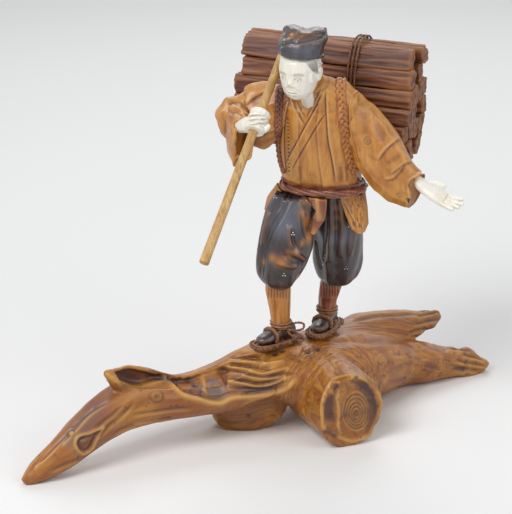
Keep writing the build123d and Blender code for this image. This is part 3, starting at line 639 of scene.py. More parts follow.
rootCuts = {
    "cell": 0.95,
    "seed": 5,
    "pulls": [
        (362, 316, 26, 0, -5), (392, 315, 30, 0, -6), (420, 313, 26, 0, -4.5), (441, 311, 11, 1, -5),
        (443, 318, 7, 2, 0), (428, 333, 8, -3, 0), (468, 354, 14, 0, -5.5), (452, 352, 9, 0, -2),
        (470, 374, 14, 0, 3), (486, 364, 6, 2, 0), (380, 429, 9, -3, -2), (331, 381, 12, -3, -1), (113, 367, 7, -2, -2),
    ],
    "frontRim": [
        (105, 373), (116, 380), (129, 385), (141, 386), (154, 383), (167, 380), (173, 384), (177, 390), (184, 395),
        (199, 399), (214, 403), (222, 403), (229, 399), (236, 397), (252, 396), (270, 394), (287, 388), (297, 378),
    ],
    "farRim": [(106, 371), (123, 366), (141, 369), (156, 374), (169, 377), (187, 377), (199, 372), (208, 369)],
    "bowlLip": [(203, 374), (204, 383), (206, 392), (212, 399)],
    "flameRidges": [
        [(219, 366), (243, 369.5), (262, 374), (274, 371.5), (290, 367)],
        [(228, 361), (250, 362.5), (268, 363.5), (285, 360)],
        [(226, 381), (244, 384), (258, 386.5), (276, 383), (293, 376)],
        [(222, 372), (240, 375), (260, 379), (282, 377)],
        [(232, 391), (250, 391), (270, 389), (286, 384)],
        [(232, 353), (250, 352), (266, 354)],
    ],
    "flameCuts": [
        [(221, 369), (240, 372.5), (262, 377), (285, 373), (297, 375.5)],
        [(230, 364.5), (250, 366), (272, 369)],
        [(228, 357.5), (247, 357.5), (262, 358.5)],
        [(223, 377.5), (244, 381), (262, 383.5), (282, 379)],
        [(228, 385), (246, 388), (264, 389), (284, 381)],
        [(240, 394), (262, 392), (280, 387)],
        [(222, 375), (226, 383), (228, 391)],
    ],
    "valley": [(322, 345), (344, 341), (376, 342), (399, 341), (408, 339)],
    "farGroove": [(341, 326), (352, 321), (364, 318.5), (377, 315.5), (402, 314.5), (420, 314)],
    "stubValley": [(335, 358), (351, 364), (364, 373), (372, 383), (377, 391)],
    "armLines": [
        [(60, 447), (74, 430), (92, 411), (108, 402)],
        [(94, 430), (104, 421), (113, 414), (122, 405)],
        [(98, 437), (110, 425), (122, 416), (134, 402)],
        [(40, 462), (58, 443), (76, 424), (92, 408)],
        [(113, 433), (124, 428), (136, 424)],
        [(157, 419.5), (164, 418), (172, 417)],
        [(132, 415), (150, 412), (172, 409), (192, 408)],
        [(50, 471), (70, 462), (88, 455), (104, 443)],
    ],
    "wormHoles": [
        (159, 376), (169, 378), (180, 378), (188, 379), (150, 378), (176, 383), (195, 385), (201, 392), (191, 390),
    ],
    # painted shade along the arm's upper face
    "smokedArm": [
        [(60, 448), (80, 420), (100, 398)], [(70, 452), (88, 425), (106, 404)], [(104, 384), (108, 395), (100, 405)],
    ],
    # painted shade in the hollows among the flames
    "smokedFlames": [[(233, 386), (250, 390), (266, 388)], [(230, 372), (246, 377)], [(262, 380), (280, 379)]],
    "pores": {"count": 46, "across": (350, 470), "down": (347, 378), "size": (0.7, 1.1)},
    "scratches": {"count": 16, "across": (400, 466), "down": (352, 372)},
    "wave": 0.55,
    "footPits": [
        (275, 354, 2.0), (282, 351, 1.6), (300, 360, 1.6), (308, 352, 1.8), (318, 349, 2.0), (312, 357, 1.3),
        (292, 358, 1.2),
    ],
    "drop": [
        (103.5, 428), (97, 430), (88, 434), (79.5, 436), (75.5, 442.5), (78, 450), (85, 453.5), (92, 449), (95, 442),
        (99, 435), (103.5, 428),
    ],
    "insideDrop": [
        (100, 430.5), (92, 435), (84, 437.5), (79, 442), (80.5, 448), (85.5, 450.5), (90.5, 446), (94, 439),
        (100, 430.5),
    ],
    "splitEnds": [
        [(440, 306), (431, 309), (420, 311)], [(441, 311), (430, 313.5), (417, 316)],
        [(439, 319), (428, 321), (414, 324)], [(430, 329), (420, 330), (408, 333)],
        [(485, 361), (474, 357), (462, 354)], [(486, 366), (472, 363), (456, 360)],
        [(470, 351), (458, 349.5), (446, 348)], [(480, 371), (468, 369.5), (454, 368.5)],
    ],
    # dark patches painted along lines, with no cut: painted shade on the knob, round the feet, beneath the trunk and in
    # hollows of the carving
    "shadePatches": [
        ([(208, 416), (228, 420), (248, 420), (266, 413)], 9.0, 0.42),
        ([(300, 352), (312, 350), (324, 346)], 6.0, 0.35),
        ([(262, 356), (276, 352), (290, 350)], 5.0, 0.4), ([(318, 376), (312, 390), (314, 406), (322, 422)], 5.0, 0.25),
        ([(250, 402), (272, 402), (292, 400)], 5.0, 0.22), ([(150, 408), (180, 407), (210, 408)], 4.0, 0.15),
        ([(110, 380), (126, 392), (146, 394)], 3.0, 0.12), ([(232, 378), (256, 380), (280, 375)], 5.0, 0.22),
    ],
}
stubCuts = {
    "pith": (356.5, 413.5),
    "rim": [
        (332, 379), (325.5, 391), (321.7, 405), (322, 417), (324, 428), (334, 434), (341, 438), (352, 441), (364, 438),
        (374, 431), (380, 421), (382, 409), (380, 397), (373.5, 387), (364, 379.5), (351, 376), (340, 377), (332, 379),
    ],
    "rings": (2.2, 4.6, 7.2, 9.8, 12.6),
    "outerRings": (15.0, 17.2, 19.4, 21.4),
    "chips": [(344, 350, 383), (350, 366, 381), (360, 376, 388), (366, 379, 400)],
    "lens": [
        [(332.5, 391), (335, 396), (337.5, 404), (338.5, 416), (338, 427), (341, 435)],
        [(339, 381), (338.5, 389), (337.5, 398)],
    ],
}


def ringLine(px, py, wide, tall, turn=0.0, start=0.0, sweep=2 * math.pi, count=26):
    pixels = []
    for step in range(count + 1):
        angle = start + sweep * step / count
        x = wide * math.cos(angle)
        y = tall * math.sin(angle)
        pixels.append((px + x * math.cos(turn) - y * math.sin(turn), py + x * math.sin(turn) + y * math.cos(turn)))
    return pixels


def carveHollow(sheet):
    # the wavy rim, the bowl and the flames
    cuts = rootCuts
    rim = onSurface(sheet, cuts["frontRim"], 4)
    chisel(sheet, None, 2.0, -1.3, worn=0.75, line=rim, taper=0.03)
    inner = onSurface(sheet, [(x + 0.5, y - 5) for x, y in cuts["frontRim"][1:-1]], 4)
    chisel(sheet, None, 2.2, 1.4, stain=0.5, line=inner, taper=0.05)
    chisel(sheet, cuts["farRim"], 1.6, -1.0, worn=0.5, taper=0.1)
    chisel(sheet, [(x + 1, y + 3.5) for x, y in cuts["farRim"][1:-1]], 1.8, 1.2, stain=0.9)
    # painted shade: the hollow behind the front rim is cut and also darkened with the grey tint
    chisel(sheet, [(113, 371), (122, 374), (132, 378), (143, 381)], 3.4, 1.6, stain=0.25, smoke=0.9)
    chisel(sheet, [(140, 373), (150, 376), (160, 378)], 2.6, 0.8, smoke=0.6)
    for px, py in cuts["wormHoles"]:
        punch(sheet, px, py, 1.5, 1.4, stain=0.85)
    chisel(sheet, cuts["bowlLip"], 1.4, -1.1, worn=0.5)
    # painted shade: the bowl's deep hollow and the cuts beside it are darkened with the grey tint
    punch(sheet, 217, 389, 7.5, 2.8, smoke=0.95)
    chisel(sheet, [(206, 379), (213, 381), (221, 382)], 3.0, 0.5, smoke=0.8)
    chisel(sheet, [(185, 382), (195, 385), (204, 390)], 3.0, 0.3, stain=0.2, smoke=0.6)
    # painted shade: broad grey bands on the arm's upper face, with no cut
    for path in cuts["smokedArm"]:
        chisel(sheet, path, 5.0, 0.0, smoke=0.38)
    for path in cuts["flameRidges"]:
        chisel(sheet, path, 1.25, -1.5, worn=0.65)
    for path in cuts["flameCuts"]:
        chisel(sheet, path, 1.1, 2.0, stain=0.85)
    # a deep hole among the flames, cut, stained and darkened with painted shade
    punch(sheet, 223, 371, 3.4, 2.8, stain=0.6, smoke=0.3)
    # painted shade: shallow grey strokes in the hollows among the flames
    for path in cuts["smokedFlames"]:
        chisel(sheet, path, 2.6, 0.2, smoke=0.55)
    for px, py, size in cuts["footPits"]:
        punch(sheet, px, py, size, 1.6, stain=0.9)


def carveKnots(sheet):
    punch(sheet, 157, 396.5, 4.2, -1.6, worn=0.1)
    chisel(sheet, ringLine(157, 396.5, 6.5, 5.6), 1.3, 0.9, stain=0.45, taper=0)
    chisel(sheet, ringLine(157, 396, 3.6, 3.2), 0.9, -1.0, worn=0.5, taper=0)
    punch(sheet, 156.5, 397, 1.9, 2.8, stain=1.0)
    chisel(sheet, rootCuts["drop"], 1.2, -1.0, worn=0.7, taper=0)
    chisel(sheet, rootCuts["insideDrop"], 1.3, 1.3, stain=0.85, taper=0)
    punch(sheet, 85, 443.5, 3.4, 1.2, stain=0.7)
    punch(sheet, 84.5, 441.5, 1.5, -1.4, worn=0.7)
    punch(sheet, 71.3, 433.4, 2.3, -1.0, worn=0.6)
    chisel(sheet, ringLine(71.3, 433.4, 3.6, 3.2), 0.9, 0.7, stain=0.5, taper=0)
    punch(sheet, 248.4, 416, 1.4, 0.8, stain=0.8)
    for path in rootCuts["armLines"]:
        chisel(sheet, path, 1.0, 0.8, stain=0.55)
        chisel(sheet, [(x + 1.5, y + 2.2) for x, y in path], 1.1, -0.5, worn=0.35)


def carveSlab(sheet):
    # the broad right side: valleys, pores and ends broken along the grain
    cuts = rootCuts
    chisel(sheet, cuts["valley"], 3.2, 1.4, stain=0.30)
    chisel(sheet, cuts["farGroove"], 2.2, 1.5, stain=0.55)
    chisel(sheet, cuts["stubValley"], 2.2, 0.9, stain=0.40)
    dice = random.Random(cuts["seed"])
    pores = cuts["pores"]
    for _ in range(pores["count"]):
        px, py = dice.uniform(*pores["across"]), dice.uniform(*pores["down"])
        punch(sheet, px, py, dice.uniform(*pores["size"]), 0.6, stain=0.8, stretch=1.5)
    scratches = cuts["scratches"]
    for _ in range(scratches["count"]):
        px, py = dice.uniform(*scratches["across"]), dice.uniform(*scratches["down"])
        chisel(sheet, [(px, py), (px + 9, py + 1.2), (px + 18, py + 2.6)], 0.8, 0.45, stain=0.35)
    for path in cuts["splitEnds"]:
        chisel(sheet, path, 1.1, 1.5, stain=0.7)
        chisel(sheet, [(x, y + 2.2) for x, y in path], 1.0, -0.8, worn=0.5)
    # painted shade patches: the knob, round the feet and under the trunk
    for path, width, tone in cuts["shadePatches"]:
        chisel(sheet, path, width, 0.0, stain=tone, taper=0.3)


def carveStub(sheet):
    # the sawn and chiselled end of the stub
    chisel(sheet, stubCuts["rim"], 1.2, -0.9, worn=0.7, taper=0)
    centreX, centreY = stubCuts["pith"]
    for step, reach in enumerate(stubCuts["rings"]):
        x, y = centreX - step * 0.1, centreY - step * 0.5
        chisel(sheet, ringLine(x, y, reach * 0.95, reach * 1.35 + 0.3 * (step % 2)), 0.75, 0.75, stain=0.6, taper=0)
        chisel(sheet, ringLine(x, y, (reach + 1.2) * 0.95, (reach + 1.2) * 1.35), 0.7, -0.5, worn=0.5, taper=0)
    for reach in stubCuts["outerRings"]:
        pixels = ringLine(centreX - 1.5, centreY - 3, reach * 0.98, reach * 1.42, start=-1.9, sweep=2.9)
        chisel(sheet, pixels, 0.8, 1.0, stain=0.8)
    for px, py, long in ((333.5, 384.5, 1.8), (337, 389, 2.6)):
        punch(sheet, px, py, 1.6, 2.0, stain=0.85, stretch=long, turn=1.35)
    for px in (327.5, 330.5, 333.5):
        chisel(sheet, [(px, 394), (px - 1, 408), (px + 1, 424)], 1.7, 1.5, stain=0.75, worn=0.1)
    for start, end, top in stubCuts["chips"]:
        chisel(sheet, [(start, top), ((start + end) / 2, top + 3), (end, top + 9)], 1.0, 0.8, stain=0.6)
    chisel(sheet, [(356, 380), (366, 386), (374, 397), (377, 411), (374, 424), (366, 433)], 2.6, 0.3, stain=0.35)
    for path in stubCuts["lens"]:
        chisel(sheet, path, 1.0, -1.3, worn=0.8)
    chisel(sheet, [(324, 430), (331, 433), (338, 438)], 2.0, 1.8, stain=1.0)


def carveRoot():
    sheet = startPiece("root_base", "polishedRootBase", rootCuts["cell"], 14, rootCuts["pulls"])
    flow = layGrain(sheet)
    # low waves of an old root, long along the grain
    wave = np.array([
        noise.noise(Vector((along * 26, level * 130, rise * 130)))
        + 0.5 * noise.noise(Vector((along * 60, level * 420, rise * 420)))
        for along, level, rise in flow.tolist()
    ])
    sheet["points"] += sheet["normals"] * (wave * rootCuts["wave"] * mm)[:, None]
    sheet["stain"] += np.clip(-wave - 0.45, 0, 1) * 0.8
    for carvePart in (carveHollow, carveKnots, carveSlab, carveStub):
        carvePart(sheet)
    endPiece(sheet, rootWood, "root_base")
    print("root carved")


carveRoot()


# the sculptor's face frame: the head turned to its right and bowed a little
faceFrame = {"seat": (27.9, -17.1, 248.8), "turn": 30.0, "bow": 9.0, "width": 26.0, "height": 30.0}


def faceAxes():
    turn = math.radians(faceFrame["turn"])
    bow = math.radians(faceFrame["bow"])
    level = Vector((-math.sin(turn), -math.cos(turn), 0))
    side = Vector((math.cos(turn), -math.sin(turn), 0))
    front = level * math.cos(bow) - Vector((0, 0, math.sin(bow)))
    rise = level * math.sin(bow) + Vector((0, 0, math.cos(bow)))
    return side, rise, front


def onFace(sheet, shares, steps=6, way=0.0):
    # A line drawn on the face in shares of its width and height, carried back on to the ivory
    side, rise, front = faceAxes()
    look = (front * math.cos(way) + side * math.sin(way)).normalized()
    across = side * math.cos(way) - front * math.sin(way)
    hits = []
    for u, v in flowing(shares, steps):
        start = fromLayout(*faceFrame["seat"]) + across * (u * faceFrame["width"] * mm)
        start += rise * (v * faceFrame["height"] * mm) + look * 0.04
        hits.append(sheet["tree"].ray_cast(start, -look))
    return metPlaces(hits)


def drape(sheet, depth, across, rise, seed=0.0, stain=0.25, worn=0.2):
    # Soft folds of carved cloth over the whole piece, closer across than down
    offset = Vector((seed, seed * 0.7, seed * 1.3))
    waves = np.array([
        noise.noise(Vector((x / across, y / across, z / rise)) / mm + offset) for x, y, z in sheet["points"].tolist()
    ])
    sheet["points"] += sheet["normals"] * (waves * depth * mm)[:, None]
    sheet["stain"] += np.clip(-waves - 0.12, 0, 1) * stain * 2.5
    sheet["worn"] += np.clip(waves - 0.12, 0, 1) * worn * 2.5


def wear(sheet, reach=1.2, strength=0.6):
    # Edges that hands have rubbed pale and hollows that kept the stain, from the curvature of the piece
    mesh = sheet["piece"].data
    edges = np.empty(len(mesh.edges) * 2, int)
    mesh.edges.foreach_get("vertices", edges)
    edges = edges.reshape(-1, 2)
    smooth = sheet["points"].copy()
    count = np.bincount(edges.ravel(), minlength=len(smooth))[:, None]
    for _ in range(int(reach * 10)):
        total = np.zeros_like(smooth)
        for axis in range(3):
            total[:, axis] = np.bincount(edges[:, 0], smooth[edges[:, 1], axis], len(smooth))
            total[:, axis] += np.bincount(edges[:, 1], smooth[edges[:, 0], axis], len(smooth))
        smooth = total / count
    high = ((sheet["points"] - smooth) * sheet["normals"]).sum(1) / mm
    spread = max(np.percentile(np.abs(high), 90), 1e-6)
    sheet["worn"] += np.clip(high / spread, 0, 1) * strength * 0.7
    sheet["stain"] += np.clip(-high / spread, 0, 1) * strength * 0.8


# the robe
robeLines = {
    "cell": 0.45,
    "pulls": [(350, 86, 16, 0, -5), (364, 94, 14, 0, -6)],
    "lapel": [(325, 88), (320, 100), (314, 112), (305, 128), (297, 143), (290, 156), (286, 166)],
    "lapelSeam": [(327, 112), (318, 124), (311, 136), (304, 148), (297, 160), (292, 170)],
    "collarLeft": [(291, 96), (294, 106), (299, 116), (304.5, 125)],
    "collarRight": [(322, 88), (317, 98), (312, 108), (306, 120)],
    "underCollarLeft": [(297, 101), (300, 109), (304.5, 117)],
    "underCollarRight": [(316, 92), (312, 101), (307, 112)],
    "vestFront": [(326, 87), (326.5, 107), (327.5, 126), (329, 142), (332, 157), (334, 169), (336, 184)],
    "vestEdge": [(290, 94), (286, 114), (284, 129), (284, 147), (285, 162), (287, 176)],
    "armhole": [
        (366, 92), (361, 89.5), (355.5, 92.3), (351, 98.5), (349.5, 110.5), (350, 127), (353.3, 143), (356.7, 156.5),
        (359.5, 165),
    ],
    "hem": 0.75,
    "edges": [  # edge, its rise and reach in mm, stain, rubbing, lying the other way
        ("lapel", 0.9, 3.2, 0.6, 0.5, True), ("collarLeft", 0.7, 1.6, 0.7, 0.5, False),
        ("collarRight", 0.7, 1.6, 0.7, 0.5, True),
        ("underCollarLeft", 0.5, 1.2, 0.7, 0.4, False), ("underCollarRight", 0.5, 1.2, 0.7, 0.4, True),
        ("vestFront", 0.8, 3.0, 0.8, 0.6, True), ("vestEdge", 0.8, 2.4, 0.7, 0.6, False),
    ],
    "dots": {"place": (287.5, 119.0), "step": (0.12, 3.7), "count": 15, "size": 0.6},
}


def carveRobe():
    sheet = startPiece("robe_body", "carvedRobe", robeLines["cell"], 8, robeLines["pulls"])
    drape(sheet, 0.3, 12, 26, 3.0, 0.04, 0.1)
    for number, (edge, height, reach, stain, worn, flip) in enumerate(robeLines["edges"]):
        foldEdge(sheet, robeLines[edge], height, reach, stain, worn, flip=flip)
        if number == 0:
            chisel(sheet, robeLines["lapelSeam"], 0.45, 0.5, stain=0.6)
    for px, low in ((299, 0.4), (341, 0.5), (347, 0.4)):
        chisel(sheet, [(px, 166), (px + 0.8, 174), (px + 0.4, 183)], 1.6, 0.5, stain=0.15 * low)
    dots = robeLines["dots"]
    for step in range(dots["count"]):
        px = dots["place"][0] + dots["step"][0] * step
        punch(sheet, px, dots["place"][1] + dots["step"][1] * step, dots["size"], 0.5, stain=0.9)
        punch(sheet, px, dots["place"][1] + 1.8 + dots["step"][1] * step, dots["size"], -0.5, worn=0.8)
    wear(sheet)
    closeSurface(sheet)
    return sheet


def relax(line, rounds):
    for _ in range(rounds):
        line[1:-1] = (line[:-2] + line[1:-1] * 2 + line[2:]) / 4


def evenMarks(line, gap, least=0, closed=False):
    # How far along each point of a line lies, and even marks at about that gap, in metres
    steps = np.linalg.norm(line[1:] - line[:-1], axis=1)
    along = np.concatenate(([0], np.cumsum(steps)))
    return along, np.linspace(0, along[-1], max(int(along[-1] / gap), least), endpoint=not closed)


def atMarks(marks, along, rows):
    return np.stack([np.interp(marks, along, rows[:, axis]) for axis in range(3)], axis=1)


def layPlait(name, places, ways, width, pitch):
    # Three strands plaited flat, laid on the vest
    line = np.array(places)
    along, marks = evenMarks(line, 0.45 * mm)
    spine = atMarks(marks, along, line)
    normal = atMarks(marks, along, np.array(ways))
    relax(spine, 12)
    relax(normal, 12)
    normal /= np.linalg.norm(normal, axis=1)[:, None]
    run = np.gradient(spine, axis=0)
    run /= np.linalg.norm(run, axis=1)[:, None]
    across = np.cross(run, normal)
    radius = width * 0.19
    thick = 1.3
    strands = []
    for strand in range(3):
        turn = 2 * math.pi * (marks / (pitch * mm) + strand / 3)
        points = spine + across * (np.sin(turn) * (width / 2 - radius) * mm)[:, None]
        points += normal * ((np.sin(2 * turn) * 0.28 * thick + thick * 0.42) * mm)[:, None]
        strands.append(points)
    return layStrands(name, strands, radius)


def layStrands(name, strands, radius, sides=4, closed=False):
    # Round strands as one mesh, each strand a bevelled curve made solid
    curve = bpy.data.curves.new(name, "CURVE")
    curve.dimensions = "3D"
    curve.bevel_depth = radius * mm
    curve.bevel_resolution = sides
    curve.use_fill_caps = True
    for points in strands:
        spline = curve.splines.new("POLY")
        spline.points.add(len(points) - 1)
        flat = np.column_stack((points, np.ones(len(points)))).ravel()
        spline.points.foreach_set("co", flat)
        spline.use_cyclic_u = closed
    piece = setOut(name, curve)
    pickOnly(piece)
    bpy.ops.object.convert(target="MESH")
    piece = bpy.context.object
    bpy.ops.object.shade_smooth()
    return piece


def twistStrands(line, radius, strands, lay, closed=False):
    # The strands of a laid rope round a line of points
    line = np.array(line)
    along, marks = evenMarks(line, lay * mm / 10, 8, closed)
    spine = atMarks(marks, along, line)
    run = np.gradient(spine, axis=0)
    if closed:
        run[0] = spine[1] - spine[-1]
        run[-1] = spine[0] - spine[-2]
    run /= np.linalg.norm(run, axis=1)[:, None]
    aside = np.empty_like(spine)
    guide = np.cross(run[0], (0.31, 0.52, 0.79))
    for index, way in enumerate(run):
        guide = guide - way * (guide @ way)
        guide /= np.linalg.norm(guide)
        aside[index] = guide
    over = np.cross(run, aside)
    turns = round(along[-1] / (lay * mm)) if closed else along[-1] / (lay * mm)
    drift = 0.0
    if closed:
        end = aside[-1] - run[0] * (aside[-1] @ run[0])
        drift = math.atan2(end @ over[0], end @ aside[0])
    found = []
    for strand in range(strands):
        turn = 2 * math.pi * (turns * marks / along[-1] + strand / strands) - drift * marks / along[-1]
        reach = radius * 0.5 * mm
        found.append(spine + aside * (np.cos(turn) * reach)[:, None] + over * (np.sin(turn) * reach)[:, None])
    return found


robe = carveRobe()
print("robe carved")


sleeveLines = {
    "cell": 0.56,
    "leftFolds": [
        ([(401, 136), (394, 142), (388, 147), (382, 154), (378, 161)], 1.2, 5.0, False),
        ([(412, 161), (404, 164), (397, 169), (391, 174)], 0.8, 3.5, False),
        ([(404, 166), (399, 172), (393, 178), (384, 180)], 0.8, 3.2, False),
    ],
    "leftSoft": [
        ([(372, 100), (376, 116), (380, 130), (382, 142)], 3.4, 0.7),
        ([(364, 112), (366, 130), (370, 148), (376, 162)], 3.0, 0.7),
        ([(396, 146), (402, 152), (408, 160)], 2.4, -0.6), ([(386, 164), (394, 160), (402, 154)], 2.2, 0.6),
        ([(362, 150), (370, 164), (380, 178)], 2.6, -0.6),
    ],
    "rightFolds": [
        ([(250, 116), (243, 110), (235, 106), (226, 105)], 1.1, 4.0, True),
        ([(246, 121), (238, 116), (228, 112)], 0.8, 3.0, True),
        ([(272, 90), (262, 93), (252, 99), (246, 106)], 0.7, 5.0, False),
        ([(276, 130), (266, 133), (256, 138)], 0.7, 3.5, False),
    ],
    "rightSoft": [
        ([(226, 108), (228, 120), (232, 134), (234, 148)], 2.2, -0.6), ([(222, 112), (225, 126), (229, 144)], 2.0, 0.5),
        ([(240, 92), (250, 96), (258, 104)], 2.6, 0.5), ([(256, 146), (266, 143), (276, 138)], 2.0, 0.5),
    ],
    "leftPulls": [
        (350, 86, 16, 0, -5), (364, 94, 14, 0, -6), (379, 107, 14, 0, -2), (403, 202, 17, 9, 1), (381, 191, 14, 1, -3),
        (358, 106, 15, -7, 0, 2.0), (356, 123, 13, -4, 0, 1.5),
    ],
    # painted shade patches: pixel, width and strength
    "leftShades": [(374, 108, 9.0, 0.12), (390, 168, 8.0, 0.14), (404, 178, 6.0, 0.16)],
    "rightShades": [(262, 142, 9.0, 0.26), (226, 120, 6.0, 0.18), (270, 104, 6.0, 0.15), (232, 150, 6.0, 0.2)],
    "leftLips": (
        [(424, 172.5), (416, 176.5), (411, 182), (409.5, 189), (409.5, 196), (408.5, 203), (406.5, 206.5)],
        [(425, 172), (424.5, 176), (423, 182), (421.5, 189), (418.5, 196.5), (413.5, 203.5), (408, 207.5)],
    ),
    "rightLips": ([(235.2, 129.5), (235, 144), (234.7, 158.5)], [(248.5, 129.5), (246, 144), (243, 158.5)]),
    # painted shade for the cloth inside the sleeve mouths
    "innerShade": 0.45,
    "leftMouth": [(416, 179), (412.5, 184), (411.5, 190), (412.5, 196), (412, 202)],
    "leftRim": [(425, 171.5), (418, 174.5), (411.5, 179), (408.8, 185), (408.5, 192), (409, 199), (407, 206)],
    "rightPulls": [
        (262, 84, 20, 0, -8), (243, 90, 20, 0, -7), (225, 103, 17, -2, -7), (217, 112, 10, -3, 0), (268, 145, 17, 0, 6),
        (243, 166, 12, -6, -4),
    ],
    "rightSlot": [(236, 125), (238.5, 133), (239, 142), (238.3, 150), (237, 157)],
}


def innerFold(sheet, name, nearEdge, farEdge, farther, sag, sink=0.3):
    # Cloth inside a sleeve's mouth: from its near lip, drawn by pixels, to a far lip
    rows = []
    for near, far in zip(flowing(nearEdge, 5), flowing(farEdge, 5)):
        eye, way = sightLine(*near)
        hit = sheet["tree"].ray_cast(eye, way)[0]
        if hit is None:
            continue
        farEye, farWay = sightLine(*far)
        if farther is None:
            end = sheet["tree"].ray_cast(farEye, farWay)[0]
        else:
            end = farEye + farWay * ((hit - eye).length + farther * mm)
        if end is None:
            continue
        row = []
        for part in range(13):
            u = part / 12
            drop = (sag * math.sin(math.pi * u) + sag * 0.3 * math.sin(math.pi * 3 * u) + sink) * mm
            row.append(hit.lerp(end, u) + way * drop)
        rows.append(row)
    mesh = bpy.data.meshes.new(name)
    count = len(rows[0])
    faces = [
        (a * count + b, a * count + b + 1, (a + 1) * count + b + 1, (a + 1) * count + b)
        for a in range(len(rows) - 1) for b in range(count - 1)
    ]
    mesh.from_pydata([point for row in rows for point in row], [], faces)
    fold = setOut(name, mesh)
    applyModifier(fold, "SUBSURF", levels=1, render_levels=1)
    applyModifier(fold, "SOLIDIFY", thickness=1.2 * mm, offset=0)
    bpy.ops.object.shade_smooth()
    editAll(fold, bpy.ops.mesh.normals_make_consistent, inside=False)
    # painted shade: the whole inner fold is darkened evenly, since the inside of the sleeve lies in shade
    for tone, value in zip(tones, (sleeveLines["innerShade"], 0.0, 0.0)):
        layTone(fold.data, tone, np.full(len(fold.data.vertices), value))
    return fold


def carveSleeves():
    sheets = []
    for side, seed in (("left", 7.0), ("right", 12.0)):
        node = side + "_sleeve"
        pulls = sleeveLines[side + "Pulls"]
        sheet = startPiece(node, "carved" + side.title() + "Sleeve", sleeveLines["cell"], 6, pulls)
        drape(sheet, 1.1, 12, 18, seed, 0.15, 0.12)
        for path, height, reach, flip in sleeveLines[side + "Folds"]:
            foldEdge(sheet, path, height, reach, 0.35, 0.4, flip=flip, sharp=0.8)
        for path, width, depth in sleeveLines[side + "Soft"]:
            chisel(sheet, path, width, depth, stain=0.1 if depth > 0 else 0.0, worn=0.1 if depth < 0 else 0.0)
        if side == "right":
            chisel(sheet, sleeveLines["rightSlot"], 1.6, 1.0, stain=0.8)
            chisel(sheet, [(x - 3.6, y) for x, y in sleeveLines["rightSlot"]], 1.2, -0.8, worn=0.3)
        else:
            # the mouth of the left sleeve: a hollow cut in and painted dark for the shade inside it
            chisel(sheet, sleeveLines["leftMouth"], 2.6, 2.6, stain=0.9, taper=0.1)
            chisel(sheet, sleeveLines["leftRim"], 0.9, -1.1, worn=0.6, taper=0.1)
            curl(sheet, 368, 141, 5.0, 1.8, 0.2, 0.45, 0.5)
            curl(sheet, 400, 195, 3.4, 1.6, 1.2)
        # painted shade: dark patches on the sleeves, with no cut
        for px, py, width, tone in sleeveLines[side + "Shades"]:
            punch(sheet, px, py, width, 0.0, stain=tone)
        wear(sheet)
        closeSurface(sheet)
        farther, sag = (None, 2.4) if side == "right" else (7.0, 2.5)
        fold = innerFold(sheet, side + "InnerFold", *sleeveLines[side + "Lips"], farther, sag)
        joinTo(sheet["piece"], fold)
        finishPiece(sheet["piece"], boxwood, node)
        sheets.append(sheet)
    print("sleeves carved")
    return sheets


flapLines = {
    "cell": 0.35,
    "seed": 9,
    "apronPulls": [(312, 212, 42, 7, 0), (306, 226, 14, 3, -3)],
    "pieces": {"left_robe_flap": "carvedLeftFlap", "right_robe_flap": "carvedRightFlap", "apron_panel": "carvedApron"},
}


def carveFlaps():
    for node, name in flapLines["pieces"].items():
        apron = node == "apron_panel"
        sheet = startPiece(node, name, flapLines["cell"], 5, flapLines["apronPulls"] if apron else ())
        drape(sheet, 0.4, 6, 20, 2.0)
        if node == "left_robe_flap":
            curl(sheet, 361, 204, 3.2, 1.5, 0.2)
            dice = random.Random(flapLines["seed"])
            for _ in range(34):
                px, py = dice.uniform(350, 368), dice.uniform(190, 226)
                chisel(sheet, [(px, py), (px + 0.6, py + 2.5), (px + 1.2, py + 5)], 0.35, 0.3, stain=0.35, worn=0.1)
            foldEdge(sheet, [(343, 200), (350, 213), (358, 228)], 0.5, 1.6, 0.5, 0.5, flip=True)
        if apron:
            chisel(sheet, [(316, 196), (318, 210), (320, 222)], 1.9, -0.3, worn=0.75)
        endPiece(sheet, ruddyWood if apron else boxwood, node, (1.2, 0.6))
    print("flaps carved")


strapLines = {
    "left": [
        (341, 80), (340.5, 86), (340.5, 92), (341, 100), (342, 111), (343, 122), (344, 131), (346, 143), (348.5, 155),
        (351, 163), (355, 171),
    ],
    "right": [(281, 87), (279.5, 94), (279, 104), (278.5, 116), (278.5, 129), (279, 144), (280.5, 158), (284.5, 172)],
    "pitch": 1.75,
}


def plaitStraps(sheets):
    for side, wood, wide in (("left", plaitWood, 7.0), ("right", sashWood, 5.6)):
        places, ways = onNearest(sheets, strapLines[side])
        piece = layPlait(side + "PlaitedStrap", places, ways, wide, wide * strapLines["pitch"])
        finishPiece(piece, wood, side + "_strap")
    # the rolled edge of the vest's armhole
    line = np.array(onNearest(sheets, robeLines["armhole"])[0])
    relax(line, 6)
    vest = sheets[0]["piece"]
    joinTo(vest, layStrands("armholeHem", [line], robeLines["hem"], 6))
    finishPiece(vest, boxwood, "robe_body")
    print("straps plaited")


sleeves = carveSleeves()
carveFlaps()
plaitStraps([robe] + sleeves)


def rounded(angle, power):
    # A rounded oblong: cosine, sine and how much farther than a circle it reaches
    c, s = math.cos(angle), math.sin(angle)
    return c, s, 1 / (abs(c) ** power + abs(s) ** power) ** (1 / power)


sashTwist = {
    "middle": (43.7, 7.0, 167.2),
    "wide": 26.6,
    "deep": 19.1,
    "power": 2.3,
    "turn": 12.7,
    "strand": 1.15,
    "lay": 34.0,
    "pulls": [
        (284, 190, 15, 0, -4), (300, 196, 15, 0, -5), (316, 198, 15, 0, -5.5), (332, 198, 15, 0, -5.5),
        (348, 196, 15, 0, -5), (362, 191, 12, 0, -3),
    ],
    "knot": [[(352, 177), (359, 180), (367, 177)], [(356, 168), (357, 176), (356, 184)]],
}


